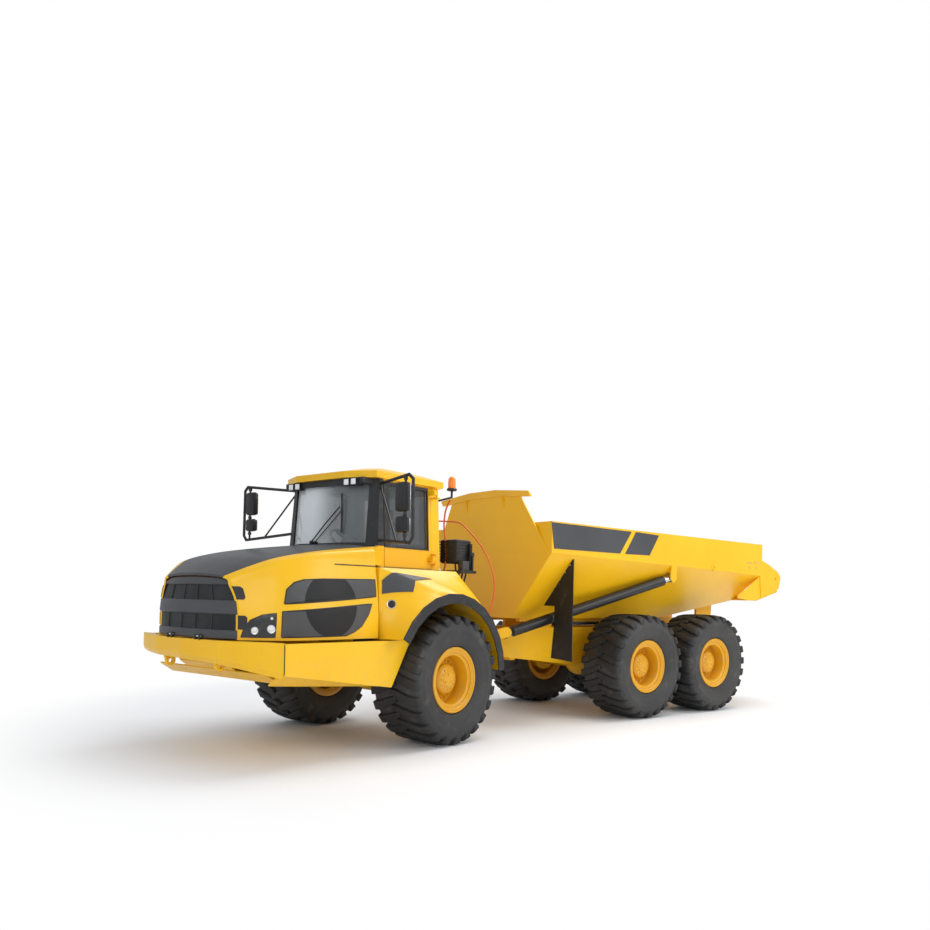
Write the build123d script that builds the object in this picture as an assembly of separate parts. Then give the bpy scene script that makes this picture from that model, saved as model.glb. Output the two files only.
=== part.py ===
# Articulated six-wheel dump truck, 24 t class, in millimetres.
# Working frame: +X forward, +Y left, +Z up, x = 0 at the front axle, ground at z = 0.
# The rear unit is modelled straight and turned about the steering pin before it is written,
# because the truck stands a little steered to the left.

import os
from math import cos, pi, radians, sin

from build123d import *

os.makedirs("parts", exist_ok=True)

# Clearances
SEAT = 0.3          # gap between faces that rest on each other
FIT = 0.06          # radial running fit of pins and bearings
SWING = 6.0         # gap between faces that move past each other

# Layout
HITCH_X = -1210.0   # steering pin behind the front axle
MID_X = -4175.0     # middle axle
REAR_X = -5845.0    # rear axle
HUB_Z = 780.0       # wheel centres, also the tyre radius
TRACK = 1108.0      # half track, centre plane of each wheel
STEER_REST = -13.1  # the rear unit's turn about the pin as the truck stands, degrees
STEER_MAX = 45.0    # either way from straight
ROLL_Z = 930.0      # height of the long axis that lets the two units twist
TIP_X, TIP_Z, TIP_MAX = -6980.0, 1330.0, 74.0
HOOD_HINGE_X, HOOD_HINGE_Z, HOOD_MAX = 2726.0, 1318.0, 90.0
DOOR_MAX = 75.0
ROLL_MAX = 15.0     # twist of the rear unit either way

made = {}


def save(name, shape, rear=False):
    "Keeps one piece; pieces of the rear unit are first turned about the steering pin"
    if rear:
        shape = Pos(HITCH_X, 0, 0) * Rot(0, 0, STEER_REST) * Pos(-HITCH_X, 0, 0) * shape
    made[name] = shape


def box(x0, x1, y0, y1, z0, z1):
    return Pos((x0 + x1) / 2, (y0 + y1) / 2, (z0 + z1) / 2) * Box(x1 - x0, y1 - y0, z1 - z0)


def side_plate(points, y0, y1):
    "Prism whose outline is drawn in x and z, between two values of y"
    face = make_face(Polyline(*[(x, y0, z) for x, z in points], close=True))
    return extrude(face, amount=y1 - y0, dir=(0, 1, 0))


def cross_plate(points, x0, x1):
    "Prism whose outline is drawn in y and z, between two values of x"
    face = make_face(Polyline(*[(x0, y, z) for y, z in points], close=True))
    return extrude(face, amount=x1 - x0, dir=(1, 0, 0))


def flat_plate(points, z0, z1):
    "Prism whose outline is drawn in x and y, between two heights"
    face = make_face(Polyline(*[(x, y, z0) for x, y in points], close=True))
    return extrude(face, amount=z1 - z0, dir=(0, 0, 1))


def rod(start, end, radius):
    "Round bar between two points"
    a, b = Vector(*start), Vector(*end)
    plane = Plane(origin=a, z_dir=b - a)
    return extrude(plane * Circle(radius), amount=(b - a).length)


def bar(points, radius):
    "Bent round bar through a row of points, with balls at the bends"
    made_bar = rod(points[0], points[1], radius)
    for i in range(1, len(points) - 1):
        made_bar += Pos(*points[i]) * Sphere(radius)
        made_bar += rod(points[i], points[i + 1], radius)
    return made_bar


def ruled(sections):
    "Solid through a row of closed outlines with straight lines between them"
    return Solid.make_loft([Wire.make_polygon([Vector(*p) for p in s], close=True) for s in sections], True)


def faceted(sections):
    "Solid whose skin is flat facets between a closed row of outlines"
    faces = []
    for a, b in zip(sections, sections[1:] + sections[:1]):
        for i in range(len(a)):
            j = (i + 1) % len(a)
            faces.append(Face(Wire.make_polygon([Vector(*p) for p in (a[i], a[j], b[j], b[i])], close=True)))
    return Solid(Shell(faces))


def spun_y(profile, y=0.0):
    "Solid turned about the Y direction from (radius, y) points"
    face = make_face(Polyline(*[(r, w, 0) for r, w in profile], close=True))
    return Pos(0, y, 0) * revolve(face, Axis.Y)


def both(shape):
    "The piece and its mirror image on the other side"
    return shape + mirror(shape, Plane.XZ)


def regular(radius, count, y, turn=0.0):
    "Corners of a regular outline round the Y direction"
    step = 2 * pi / count
    return [(radius * cos(i * step + turn), y, radius * sin(i * step + turn)) for i in range(count)]


# Front frame: two beams, cross members and the yoke plates that hold the steering pin
BEAM_IN, BEAM_OUT = 300.0, 400.0
TAIL_IN, TAIL_OUT = 190.0, 280.0       # the beams stand closer behind the front axle
FRAME_TOP = 1250.0
YOKE_TOP, YOKE_LOW, YOKE_T = 1166.0, 694.0, 50.0
PIN_R = 60.0
STEER_A = (-330.0, 500.0, ROLL_Z)      # barrel pin of the steering cylinders
STEER_B = (-1310.0, 300.0, ROLL_Z)     # rod eye when the truck stands straight
EYE_T = 60.0                           # thickness of the cylinder eyes
EAR_T = 25.0                           # plates beside an eye

beam_profile = [
    (2440, 1020), (2440, FRAME_TOP), (-480, FRAME_TOP), (-480, 820),
    (-220, 820), (-180, 955), (1900, 955), (2200, 1020),
]
tail_profile = [
    (-300, FRAME_TOP), (-640, FRAME_TOP), (-760, YOKE_TOP + YOKE_T), (-760, YOKE_LOW - YOKE_T),
    (-520, YOKE_LOW - YOKE_T), (-300, 820),
]
frame = both(side_plate(beam_profile, BEAM_IN, BEAM_OUT))
frame += both(side_plate(tail_profile, TAIL_IN, TAIL_OUT))
for x0, x1, z0, z1 in ((2250, 2350, 1060, 1200), (880, 980, 990, 1200), (-480, -400, 830, 1240)):
    frame += box(x0, x1, -BEAM_IN - 5, BEAM_IN + 5, z0, z1)
for z0 in (YOKE_TOP, YOKE_LOW - YOKE_T):
    plate = flat_plate([(-600, -TAIL_OUT), (-600, TAIL_OUT), (-800, TAIL_OUT), (-1180, 200), (-1180, -200),
                        (-800, -TAIL_OUT)], z0, z0 + YOKE_T)
    plate += Pos(HITCH_X, 0, z0 + YOKE_T / 2) * Cylinder(205, YOKE_T)
    frame += plate
frame -= Pos(HITCH_X, 0, ROLL_Z) * Cylinder(PIN_R + FIT, 800)
ear_gap = EYE_T / 2 + SWING
STEER_EYE_R = 55.0
for z0 in (ROLL_Z + ear_gap, ROLL_Z - ear_gap - EAR_T):
    ear = box(STEER_A[0] - 60, STEER_A[0] + 60, BEAM_OUT - 5, STEER_A[1], z0, z0 + EAR_T)
    ear += Pos(STEER_A[0], STEER_A[1], z0 + EAR_T / 2) * Cylinder(60, EAR_T)
    frame += both(ear)
STEER_PIN_R = 30.0
frame += both(Pos(STEER_A[0], STEER_A[1], ROLL_Z) * Cylinder(STEER_PIN_R, EYE_T + 2 * SWING + 2 * EAR_T))
# brackets that carry the side skirts, the cab and the fenders
for x in (1150, 2050):
    frame += both(box(x, x + 90, BEAM_OUT - 5, 1205 - SEAT, 1160, 1230))
for x in (-440, 560):
    frame += both(box(x, x + 100, BEAM_OUT - 5, 700, 1180, FRAME_TOP))
    frame += both(box(x, x + 100, 600, 700, FRAME_TOP - 5, 1750 - SEAT))
save("front_frame", frame)

# Front axle: housing with differential, spring seats and wheel spindles
SPINDLE_R = 80.0
HUB_IN = -150.0      # inner face of a wheel's hub, from the wheel's centre plane
SPINDLE_END = 40.0   # outer end of the spindle, from the same plane


def axle(x, seat_y, seat_top):
    "Axle housing across the truck at the wheel centres"
    y_in = TRACK + HUB_IN - SWING
    housing = rod((x, -y_in + 120, HUB_Z), (x, y_in - 120, HUB_Z), 125)
    housing += both(rod((x, y_in - 130, HUB_Z), (x, y_in, HUB_Z), 215))
    housing += Pos(x, 0, HUB_Z) * Sphere(240)
    housing += rod((x, 0, HUB_Z), (x - 330, 0, HUB_Z + 20), 110)
    housing += rod((x, -TRACK - SPINDLE_END, HUB_Z), (x, TRACK + SPINDLE_END, HUB_Z), SPINDLE_R)
    housing += both(box(x - 110, x + 110, seat_y[0], seat_y[1], HUB_Z + 90, seat_top))
    return housing


save("front_axle", axle(0, (BEAM_IN + 5, BEAM_OUT - 5), 955 - SEAT))
save("engine", box(1040, 2180, SEAT - BEAM_IN, BEAM_IN - SEAT, 1010, 1900) - box(800, 2400, -400, 400, 900, 1210))

# Bumper: a beam bent in four places, deeper towards its ends, with two towing eyes
BUMPER_TOP, BUMPER_MID = 1286.0, 1150.0
# front face x and y, inner face x and y, height of the lower edge
bumper_rows = (
    (2440, 1268, 2441, 1190, 932), (2545, 1085, 2450, 1030, 968), (2618, 935, 2515, 880, 996),
    (2712, 570, 2608, 540, 1048), (2756, 0, 2650, 0, 1070),
)


def bumper_outline(row, side):
    "Upright outline across the beam, its foot drawn back under the face"
    x, y, x_in, y_in, low = row
    x_foot, y_foot = x + (x_in - x) * 0.3, y + (y_in - y) * 0.3
    points = ((x, y, BUMPER_TOP), (x, y, low + 55), (x_foot, y_foot, low), (x_in, y_in, low + 20), (x_in, y_in, BUMPER_TOP))
    return [(px, py * side, pz) for px, py, pz in points]


bumper = ruled([bumper_outline(row, 1) for row in bumper_rows]
               + [bumper_outline(row, -1) for row in reversed(bumper_rows[:-1])])
bumper += both(box(2380, 2640, BEAM_IN + 10, BEAM_OUT - 10, BUMPER_MID + 5, FRAME_TOP - 20)
               - box(2380, 2440 + SEAT, 0, 600, 900, 1400))
EYE_X, EYE_Y, EYE_Z, EYE_BORE = 2600.0, 450.0, 1018.0, 26.0
tow = side_plate([(2520, 1180), (2690, 1180), (2672, 1080), (2655, EYE_Z), (2630, EYE_Z - 50), (2570, EYE_Z - 50),
                  (2545, EYE_Z)], EYE_Y - 20, EYE_Y + 20)
tow -= rod((EYE_X, EYE_Y - 40, EYE_Z), (EYE_X, EYE_Y + 40, EYE_Z), EYE_BORE)
bumper += both(tow)

# Side skirts under the hood, with the slanted edge in front of the tyre
skirt_line = [(2436, 1276), (2436, 980), (2330, 800), (945, 765), (630, 1266), (1000, 1268)]
skirt = side_plate(skirt_line, 1205, 1268)
skirt += side_plate([(2330, 800), (2290, 850), (980, 815), (945, 765)], 1090, 1210)
save("side_skirts", both(skirt))

# Belly plate under the engine, rising to the bumper
belly_line = [(2250, 850), (1180, 850), (1180, 862), (2240, 862), (2400, 962), (2408, 950)]
nose_line = [(2398, 952), (2390, 962), (2480, 1030), (2480, 1147), (2492, 1147), (2492, 1022)]
belly = side_plate(belly_line, -960, 960) + side_plate(nose_line, -440, 440)
belly += both(box(1200, 1260, BEAM_IN + 10, BEAM_OUT - 10, 855, 955 - SEAT))
belly += both(box(1900, 1960, BEAM_IN + 10, BEAM_OUT - 10, 855, 955 - SEAT))
save("belly_plate", belly)

# Fenders: flared shells round the front wheels, each with a black rubber lip
CAB_SIDE = 850.0
ARCH_X, ARCH_Z = 60.0, 800.0           # middle of the wheel opening
ARCH_FRONT, ARCH_REAR = 1032.0, 980.0   # its radius at the front foot and at the rear foot
deck = [(985, 1276), (1000, 1480), (1010, 1700), (1010, 1900), (1010, 2080), (600, 2080), (140, 2080), (-330, 2080),
        (-500, 1890), (-690, 1632), (-860, 1400), (-950, 850)]


def arch_line(depth):
    "Points along the wheel opening from foot to foot, the depth inside its outer edge"
    points = []
    for i in range(len(deck)):
        t = i / (len(deck) - 1)
        a, r = radians(28.6 + 148.4 * t), ARCH_FRONT + (ARCH_REAR - ARCH_FRONT) * t - depth
        points.append((ARCH_X + r * cos(a), ARCH_Z + r * sin(a)))
    return points


SHELL_T, LIP_DEEP = 34.0, 115.0
arch, flare = arch_line(SHELL_T), arch_line(0)
FENDER_STEP, FENDER_OUT = 1125.0, 1462.0


def ring(y, outside):
    return [(x, y, z) for x, z in arch] + [(x, y, z) for x, z in reversed(outside)]


fender = ruled([ring(CAB_SIDE + 8, deck), ring(FENDER_STEP, deck), ring(FENDER_OUT, flare)])
fender += box(-430, -350, 700 + SEAT, CAB_SIDE + 20, 1660, 1740)
save("fenders", both(fender))
lip_in = arch_line(LIP_DEEP)
lip = ruled([
    [(x, FENDER_OUT + SEAT, z) for x, z in lip_in] + [(x, FENDER_OUT + SEAT, z) for x, z in reversed(flare)],
    [(x, FENDER_OUT + 14, z) for x, z in lip_in] + [(x, FENDER_OUT + 14, z) for x, z in reversed(flare)],
])
save("fender_lips", both(lip))

# Cab: a hollow box with a bowed front, windows cut through its walls
CAB_FLOOR, CAB_SILL, CAB_TOP = 1750.0, 2350.0, 3205.0
WALL = 55.0
# plan of one half: rear corner, front corner, bowed front; at the floor and at the roof
cab_low = ((-400, 820), (745, 820), (925, 430))
cab_high = ((-390, 750), (665, 750), (825, 390))


def cab_hull(inset):
    "Cab outline drawn in by the inset on all sides"
    sections = []
    for plan, z in ((cab_low, CAB_FLOOR + inset), (cab_high, CAB_TOP - inset)):
        half = [(plan[0][0] + inset, plan[0][1] - inset), (plan[1][0] - inset * 0.6, plan[1][1] - inset),
                (plan[2][0] - inset, plan[2][1] - inset * 0.5)]
        sections.append([(x, y, z) for x, y in half] + [(x, -y, z) for x, y in reversed(half)])
    return ruled(sections)


cab = cab_hull(0) - cab_hull(WALL)
GLASS_TOP = 3090.0
DOOR_X0, DOOR_X1, DOOR_Z0, DOOR_Z1 = -240.0, 610.0, 2104.0, 3130.0
DOOR_HINGE = (DOOR_X0 + 2.0, 868.0)
side_window = [(-170, CAB_SILL), (560, CAB_SILL), (550, GLASS_TOP), (-170, GLASS_TOP)]
front_cut = box(580, 1000, -650, 650, CAB_SILL + 35, GLASS_TOP)
rear_cut = box(-600, -250, -560, 560, CAB_SILL + 80, GLASS_TOP - 40)
cab -= front_cut
cab -= rear_cut
cab -= side_plate(side_window, -1000, -600)
door_hole = box(DOOR_X0, DOOR_X1, 600, 1000, DOOR_Z0, DOOR_Z1)
cab -= door_hole
# cowl sides that lead from the hood to the cab, and a step under the door
cowl_side = ruled([
    [(1020, 1070, 2110), (1020, 950, 2312), (1020, 880, 2312), (1020, 880, 2110)],
    [(690, 850, 2110), (690, 835, 2340), (690, 760, 2340), (690, 760, 2110)],
])
cab += both(cowl_side)
# lugs and pins that carry the door
DOOR_PIN_R, DOOR_BARREL_R = 8.0, 14.0
HINGE_HEIGHTS = (2230.0, 3060.0)
for z in HINGE_HEIGHTS:
    for z0 in (z - 45 - SWING - 20, z + 45 + SWING):
        lug = box(DOOR_HINGE[0] - 50, DOOR_HINGE[0], 740, DOOR_HINGE[1] + DOOR_BARREL_R, z0, z0 + 20)
        cab += lug - cab_hull(20) + Pos(DOOR_HINGE[0], DOOR_HINGE[1], z0 + 10) * Cylinder(DOOR_BARREL_R, 20)
    cab += Pos(DOOR_HINGE[0], DOOR_HINGE[1], z) * Cylinder(DOOR_PIN_R, 2 * (45 + SWING + 10))
save("cab_body", cab)

cowl = ruled([
    [(1020, 879, 2180), (1020, 949, 2311), (1020, 0, 2356), (1020, -949, 2311), (1020, -879, 2180)],
    [(762, 800, 2180), (762, 833, 2336), (762, 0, 2376), (762, -833, 2336), (762, -800, 2180)],
])
cowl -= cab_hull(-SEAT)
cowl -= both(cowl_side)
save("cowl", cowl)

glass_shell = cab_hull(20) - cab_hull(28)
save("windscreen", glass_shell & box(582, 1000, -650 + SEAT, 650 - SEAT, CAB_SILL + 35 + SEAT, GLASS_TOP - SEAT))
side_glass = [(-170 + SEAT, CAB_SILL + SEAT), (560 - SEAT, CAB_SILL + SEAT), (550 - SEAT, GLASS_TOP - SEAT),
              (-170 + SEAT, GLASS_TOP - SEAT)]
windows = glass_shell & side_plate(side_glass, -1000, -600)
windows += glass_shell & box(-600, -250, -560 + SEAT, 560 - SEAT, CAB_SILL + 80 + SEAT, GLASS_TOP - 40 - SEAT)
save("cab_windows", windows)

# Left door: the piece of wall in the door opening, hung at its rear edge
GAP = 5.0
door_plan = [(DOOR_X0 + GAP, 600), (DOOR_X1 - 20, 600), (DOOR_X1 - GAP, 900), (DOOR_X0 + GAP, 900)]
door = (cab_hull(0) - cab_hull(WALL)) & flat_plate(door_plan, DOOR_Z0 + GAP, DOOR_Z1 - GAP)
door -= side_plate(side_window, 600, 1000)
for z in HINGE_HEIGHTS:
    door += Pos(DOOR_HINGE[0], DOOR_HINGE[1], z) * Cylinder(DOOR_BARREL_R, 90)
    door += box(DOOR_HINGE[0], DOOR_X0 + 60, 760, DOOR_HINGE[1] + 8, z - 25, z + 25) - cab_hull(1)
    door -= Pos(DOOR_HINGE[0], DOOR_HINGE[1], z) * Cylinder(DOOR_PIN_R + FIT, 100)
save("door_left", door)
save("door_glass", glass_shell & side_plate(side_glass, 600, 1000))

# Roof: crowned cap that overhangs the cab and comes down round its upper edge
ROOF_FOOT, ROOF_EDGE, ROOF_Z = 3144.0, 3222.0, 3308.0
roof_low = ((-450, 790), (760, 800), (930, 430))
roof_top = ((-330, 520), (420, 540), (520, 340))
roof_sections = []
for plan, z in ((roof_low, ROOF_FOOT), (roof_low, ROOF_EDGE), (roof_top, ROOF_Z)):
    roof_sections.append([(x, y, z) for x, y in plan] + [(x, -y, z) for x, y in reversed(plan)])
save("cab_roof", ruled(roof_sections) - cab_hull(-SEAT))

# Inside the cab: seat, and dashboard with steering wheel
seat = box(-150, 370, -260, 260, 2130, 2270) + box(-250, -130, -250, 250, 2130, 2900)
seat += box(-20, 240, -150, 150, CAB_FLOOR + WALL + SEAT, 2140)
save("driver_seat", seat)
dash = box(590, 740, -520, 520, CAB_FLOOR + WALL + SEAT, 2340)
wheel = Pos(480, 0, 2440) * Rot(0, -35, 0) * Torus(210, 16)
wheel += rod((480, 0, 2440), (650, 0, 2210), 26) + Pos(480, 0, 2440) * Rot(0, -35, 0) * Box(400, 40, 20)
save("dashboard", dash + wheel)

# Roof lamps: a black bar under the roof's front edge with two pairs of lamps
lamp_bar = box(700, 876, -690, 690, ROOF_FOOT - 70, ROOF_FOOT - SEAT)
for y in (-560, -440, 440, 560):
    lamp_bar += box(800, 905, y - 48, y + 48, ROOF_FOOT - 92, ROOF_FOOT - 8)
save("roof_lamps", lamp_bar - cab_hull(-SEAT))

# Mirrors: bent tube frames on both sides of the cab with two heads each; the right one stands higher
MIRROR_Y = 1600.0
MIRROR_TUBE, MIRROR_POST = 18.0, 13.0
mirror_frames, mirror_heads = [], []
for sign, x, low, top in ((1, 1005, 2345, 3090), (-1, 825, 2465, 3170)):
    middle = (low + top) / 2
    loop = bar([(640, 735, ROOF_FOOT - 60), (x, MIRROR_Y - 60, top), (x, MIRROR_Y, top - 50), (x, MIRROR_Y + 10, low + 60),
                (x, MIRROR_Y - 40, low), (690, 775, low + 70)], MIRROR_TUBE) - cab_hull(-SEAT)
    loop += rod((x, MIRROR_Y - 110, top), (x, MIRROR_Y - 110, low), MIRROR_POST)
    heads = box(x - 45, x + 45, MIRROR_Y - 240, MIRROR_Y - 60, middle - 30, top - 75)
    heads += box(x - 45, x + 45, MIRROR_Y - 230, MIRROR_Y - 60, low + 110, middle - 75)
    heads -= rod((x, MIRROR_Y - 110, top + 100), (x, MIRROR_Y - 110, low - 100), MIRROR_POST + FIT)
    mirror_frames.append(loop if sign > 0 else mirror(loop, Plane.XZ))
    mirror_heads.append(heads if sign > 0 else mirror(heads, Plane.XZ))
save("mirror_frames", mirror_frames[0] + mirror_frames[1])
save("mirror_heads", mirror_heads[0] + mirror_heads[1])

# Behind the cab: air intake column, equipment box and the beacon on its post
air = box(-640, -401, 420, 560, 1300, 2980) + box(-900, -481, -520, 620, FRAME_TOP + SEAT, 1500)
air += box(-920, -600, 600, 1000, 2070, 2520)
air += box(-660, -600, 420, 700, 2070, 2270)
save("air_unit", air)
beacon = bar([(-600, 500, 2980 + SEAT), (-600, 500, 3020), (-670, 690, 3070), (-670, 690, 3190)], 16)
beacon += Pos(-670, 690, 3250) * Cylinder(58, 140)
save("beacon", beacon)

# Hood: yellow side shells, a dark top, the grille, side vents and headlamps; it tips forward as one
HOOD_LOW = 1294.0
HOOD_T = 40.0
# x; half widths at the bottom, middle and shoulder; shoulder height; top edge y and z; crown z
hood_rows = (
    (2645, 790, 780, 690, 1815, 600, 1895, 1925),
    (2450, 1010, 990, 890, 1945, 720, 2030, 2075),
    (2200, 1105, 1090, 985, 2030, 830, 2135, 2175),
    (1800, 1130, 1122, 1035, 2095, 915, 2220, 2262),
    (1400, 1140, 1132, 1060, 2120, 945, 2272, 2318),
    (1028, 1140, 1134, 1068, 2130, 950, 2312, 2358),
)
HOOD_MID = 1650.0
sides, tops = [], []
for x, y_low, y_mid, y_sh, z_sh, y_edge, z_edge, z_crown in hood_rows:
    sides.append([(x, y_low, HOOD_LOW), (x, y_mid, HOOD_MID), (x, y_sh, z_sh), (x, y_edge, z_edge),
                  (x, y_edge - HOOD_T, z_edge - HOOD_T), (x, y_sh - HOOD_T, z_sh - HOOD_T),
                  (x, y_mid - HOOD_T, HOOD_MID), (x, y_low - HOOD_T, HOOD_LOW)])
    tops.append([(x, y_edge - SEAT, z_edge), (x, 0, z_crown), (x, -y_edge + SEAT, z_edge),
                 (x, -y_edge + HOOD_T + SEAT, z_edge - HOOD_T), (x, 0, z_crown - HOOD_T),
                 (x, y_edge - HOOD_T - SEAT, z_edge - HOOD_T)])
hood_side = ruled(sides)
hood_top = ruled(tops)
# vents and headlamps are let into the sides: outlines in x and z
upper_vent = [(2284, 1667), (1950, 1888), (1800, 1927), (1065, 1940), (1065, 1756), (1510, 1718)]
lower_vent = [(2310, 1332), (2290, 1590), (1150, 1668), (1200, 1550), (1345, 1382), (1510, 1340)]
lamp_line = [(2600, 1330), (2590, 1405), (2500, 1530), (2365, 1572), (2375, 1330)]
LET_IN = 14.0


def hood_skin(depth0, depth1):
    "Layer of the left hood side between two depths below its surface"
    layer = []
    for x, y_low, y_mid, y_sh, z_sh, y_edge, z_edge, z_crown in hood_rows:
        layer.append([(x, y_low - depth0, HOOD_LOW), (x, y_mid - depth0, HOOD_MID), (x, y_sh - depth0, z_sh),
                      (x, y_sh - depth1, z_sh), (x, y_mid - depth1, HOOD_MID), (x, y_low - depth1, HOOD_LOW)])
    return ruled(layer)


inlay = hood_skin(LET_IN, HOOD_T)
vents = None
for outline in (upper_vent, lower_vent):
    cut = side_plate(outline, 500, 1300)
    hood_side -= cut
    piece = inlay & cut
    vents = piece if vents is None else vents + piece
lamp_cut = side_plate(lamp_line, 500, 1300)
hood_side -= lamp_cut
lamps = hood_skin(6, HOOD_T) & lamp_cut
hood = both(hood_side)
save("side_grilles", both(vents))
save("headlamps", both(lamps))

# Grille: frame with two openings, dark bands and louvres
grille_plan = ((2642, 735), (2690, 500), (2712, 0))
face_out = list(grille_plan) + [(x, -y) for x, y in reversed(grille_plan[:-1])]
face_in = [(x - 45, y) for x, y in reversed(face_out)]
grille = ruled([
    [(x, y, HOOD_LOW + 5) for x, y in face_out + face_in],
    [(x - 45, y * 0.74, 1852) for x, y in face_out + face_in],
])
for z0, z1 in ((1395, 1535), (1635, 1805)):
    grille -= box(2400, 2900, -520, 520, z0, z1)
    for i in range(3):
        z = z0 + (i + 1) * (z1 - z0) / 4
        x = 2648 - 45 * (z - 1300) / 552
        grille += box(x - 34, x, -530, 530, z - 8, z + 8)
# sill inside the hood's front that carries the grille
sill = [(2500, 930), (2560, 862), (2600, 780), (2640, 500), (2668, 0)]
hood += flat_plate(sill + [(x, -y) for x, y in reversed(sill[:-1])], HOOD_LOW, HOOD_LOW + 30) - grille
save("hood", hood)
save("hood_top", hood_top)
# hinge knuckles at the grille's foot, held between lugs on the bumper
HINGE_Y, HINGE_R = 250.0, 11.0
knuckle = box(2690, HOOD_HINGE_X, HINGE_Y - 25, HINGE_Y + 25, HOOD_HINGE_Z - 12, HOOD_HINGE_Z + 12)
knuckle += rod((HOOD_HINGE_X, HINGE_Y - 25, HOOD_HINGE_Z), (HOOD_HINGE_X, HINGE_Y + 25, HOOD_HINGE_Z), 15)
knuckle += rod((HOOD_HINGE_X, HINGE_Y - 55, HOOD_HINGE_Z), (HOOD_HINGE_X, HINGE_Y + 55, HOOD_HINGE_Z), HINGE_R)
save("grille", grille + both(knuckle))
for y0 in (HINGE_Y - 50, HINGE_Y + 30):
    lug = box(HOOD_HINGE_X - 17, HOOD_HINGE_X + 17, y0, y0 + 20, BUMPER_TOP - 5, HOOD_HINGE_Z)
    lug += rod((HOOD_HINGE_X, y0, HOOD_HINGE_Z), (HOOD_HINGE_X, y0 + 20, HOOD_HINGE_Z), 17)
    lug -= rod((HOOD_HINGE_X, y0 - 5, HOOD_HINGE_Z), (HOOD_HINGE_X, y0 + 25, HOOD_HINGE_Z), HINGE_R + FIT)
    bumper += both(lug)
save("front_bumper", bumper)


# Wheels: faceted tyre with fused lugs, and a dished rim that turns on the axle's spindle
TYRE_R = HUB_Z
TYRE_HALF = 367.0
SIDES = 30
LUGS = SIDES // 2                            # lugs a side, one on every second facet
RIM_SEAT = 330.0                             # radius on which the tyre's beads sit
BEAD_R = (RIM_SEAT + SEAT) / cos(pi / SIDES)
RIM_HALF = 312.0
LUG_T = 70.0                                 # how far a lug reaches round the tyre to either side
TOP_R = (TYRE_R ** 2 - LUG_T ** 2) ** 0.5    # flat top of a lug whose corner is at the tyre's radius
# radius and half width of the tyre's outline from bead to tread
tyre_rows = ((402, 288), (600, TYRE_HALF - 4), (728, 335))


def tyre_shape():
    "One tyre about its own centre, axis along Y"
    rows = [(r, -w) for r, w in tyre_rows] + [(r, w) for r, w in reversed(tyre_rows)]
    rows += [(BEAD_R, tyre_rows[0][1]), (BEAD_R, -tyre_rows[0][1])]
    solid = faceted([regular(r, SIDES, w, pi / 2 - pi / SIDES) for r, w in rows])
    block = [(-15, -LUG_T), (-15, 0), (TYRE_HALF, LUG_T), (TYRE_HALF, -8)]
    for i in range(SIDES):
        side = 1 if i % 2 else -1
        lug = flat_plate([(t, w * side) for w, t in block], 690, TOP_R)
        solid += Rot(0, i * 360.0 / SIDES, 0) * lug
    return solid


def rim_shape():
    "One rim about its own centre, its open dish towards +Y"
    rim = spun_y([(SPINDLE_R + FIT, HUB_IN), (SPINDLE_R + FIT, SPINDLE_END + 4), (0, SPINDLE_END + 4), (0, 215), (95, 215),
                  (150, 195), (180, 170), (180, 95), (285, 75), (285, 268), (352, 290), (352, RIM_HALF), (394, RIM_HALF),
                  (394, 289), (RIM_SEAT, 289), (RIM_SEAT, -289), (394, -289), (394, -RIM_HALF),
                  (352, -RIM_HALF), (352, -290), (300, -268), (300, 20), (190, 30), (190, HUB_IN)])
    return rim


tyre, rim = tyre_shape(), rim_shape()
wheel_rows = (("front", 0.0, False), ("mid", MID_X, True), ("rear", REAR_X, True))
for name, x, rear in wheel_rows:
    for side, sign in (("left", 1), ("right", -1)):
        place = Pos(x, sign * TRACK, HUB_Z) * Rot(0, 0, 0 if sign > 0 else 180)
        save(f"tyre_{name}_{side}", place * tyre, rear)
        save(f"rim_{name}_{side}", place * rim, rear)

# Hitch: head on the steering pin and the tube that lets the rear unit twist
TUBE_R = 150.0
SOCKET_X0, SOCKET_X1, SOCKET_R = -1860.0, -1580.0, 250.0
hitch = Pos(HITCH_X, 0, ROLL_Z) * Cylinder(170, YOKE_TOP - YOKE_LOW - 2 * SWING)
hitch += Pos(HITCH_X, 0, ROLL_Z) * Cylinder(PIN_R, YOKE_TOP - YOKE_LOW + 2 * YOKE_T + 30)
hitch += rod((HITCH_X, 0, ROLL_Z), (SOCKET_X0 - 50, 0, ROLL_Z), TUBE_R)
hitch += rod((SOCKET_X0 - 50, 0, ROLL_Z), (SOCKET_X0 - SWING, 0, ROLL_Z), 215)
hitch += rod((SOCKET_X1 + SWING, 0, ROLL_Z), (SOCKET_X1 + 50, 0, ROLL_Z), 215)
for z0 in (ROLL_Z + ear_gap, ROLL_Z - ear_gap - EAR_T):
    ear = flat_plate([(STEER_B[0] + 75, 0), (STEER_B[0] + 75, STEER_B[1] + 40), (STEER_B[0] - 75, STEER_B[1] + 40),
                      (STEER_B[0] - 75, 0)], z0, z0 + EAR_T)
    hitch += both(ear)
save("hitch_yoke", hitch, True)

# Steering cylinders, drawn on the line between their pins as the truck stands
BARREL_R, STEER_ROD_R = 62.0, 32.0


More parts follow.
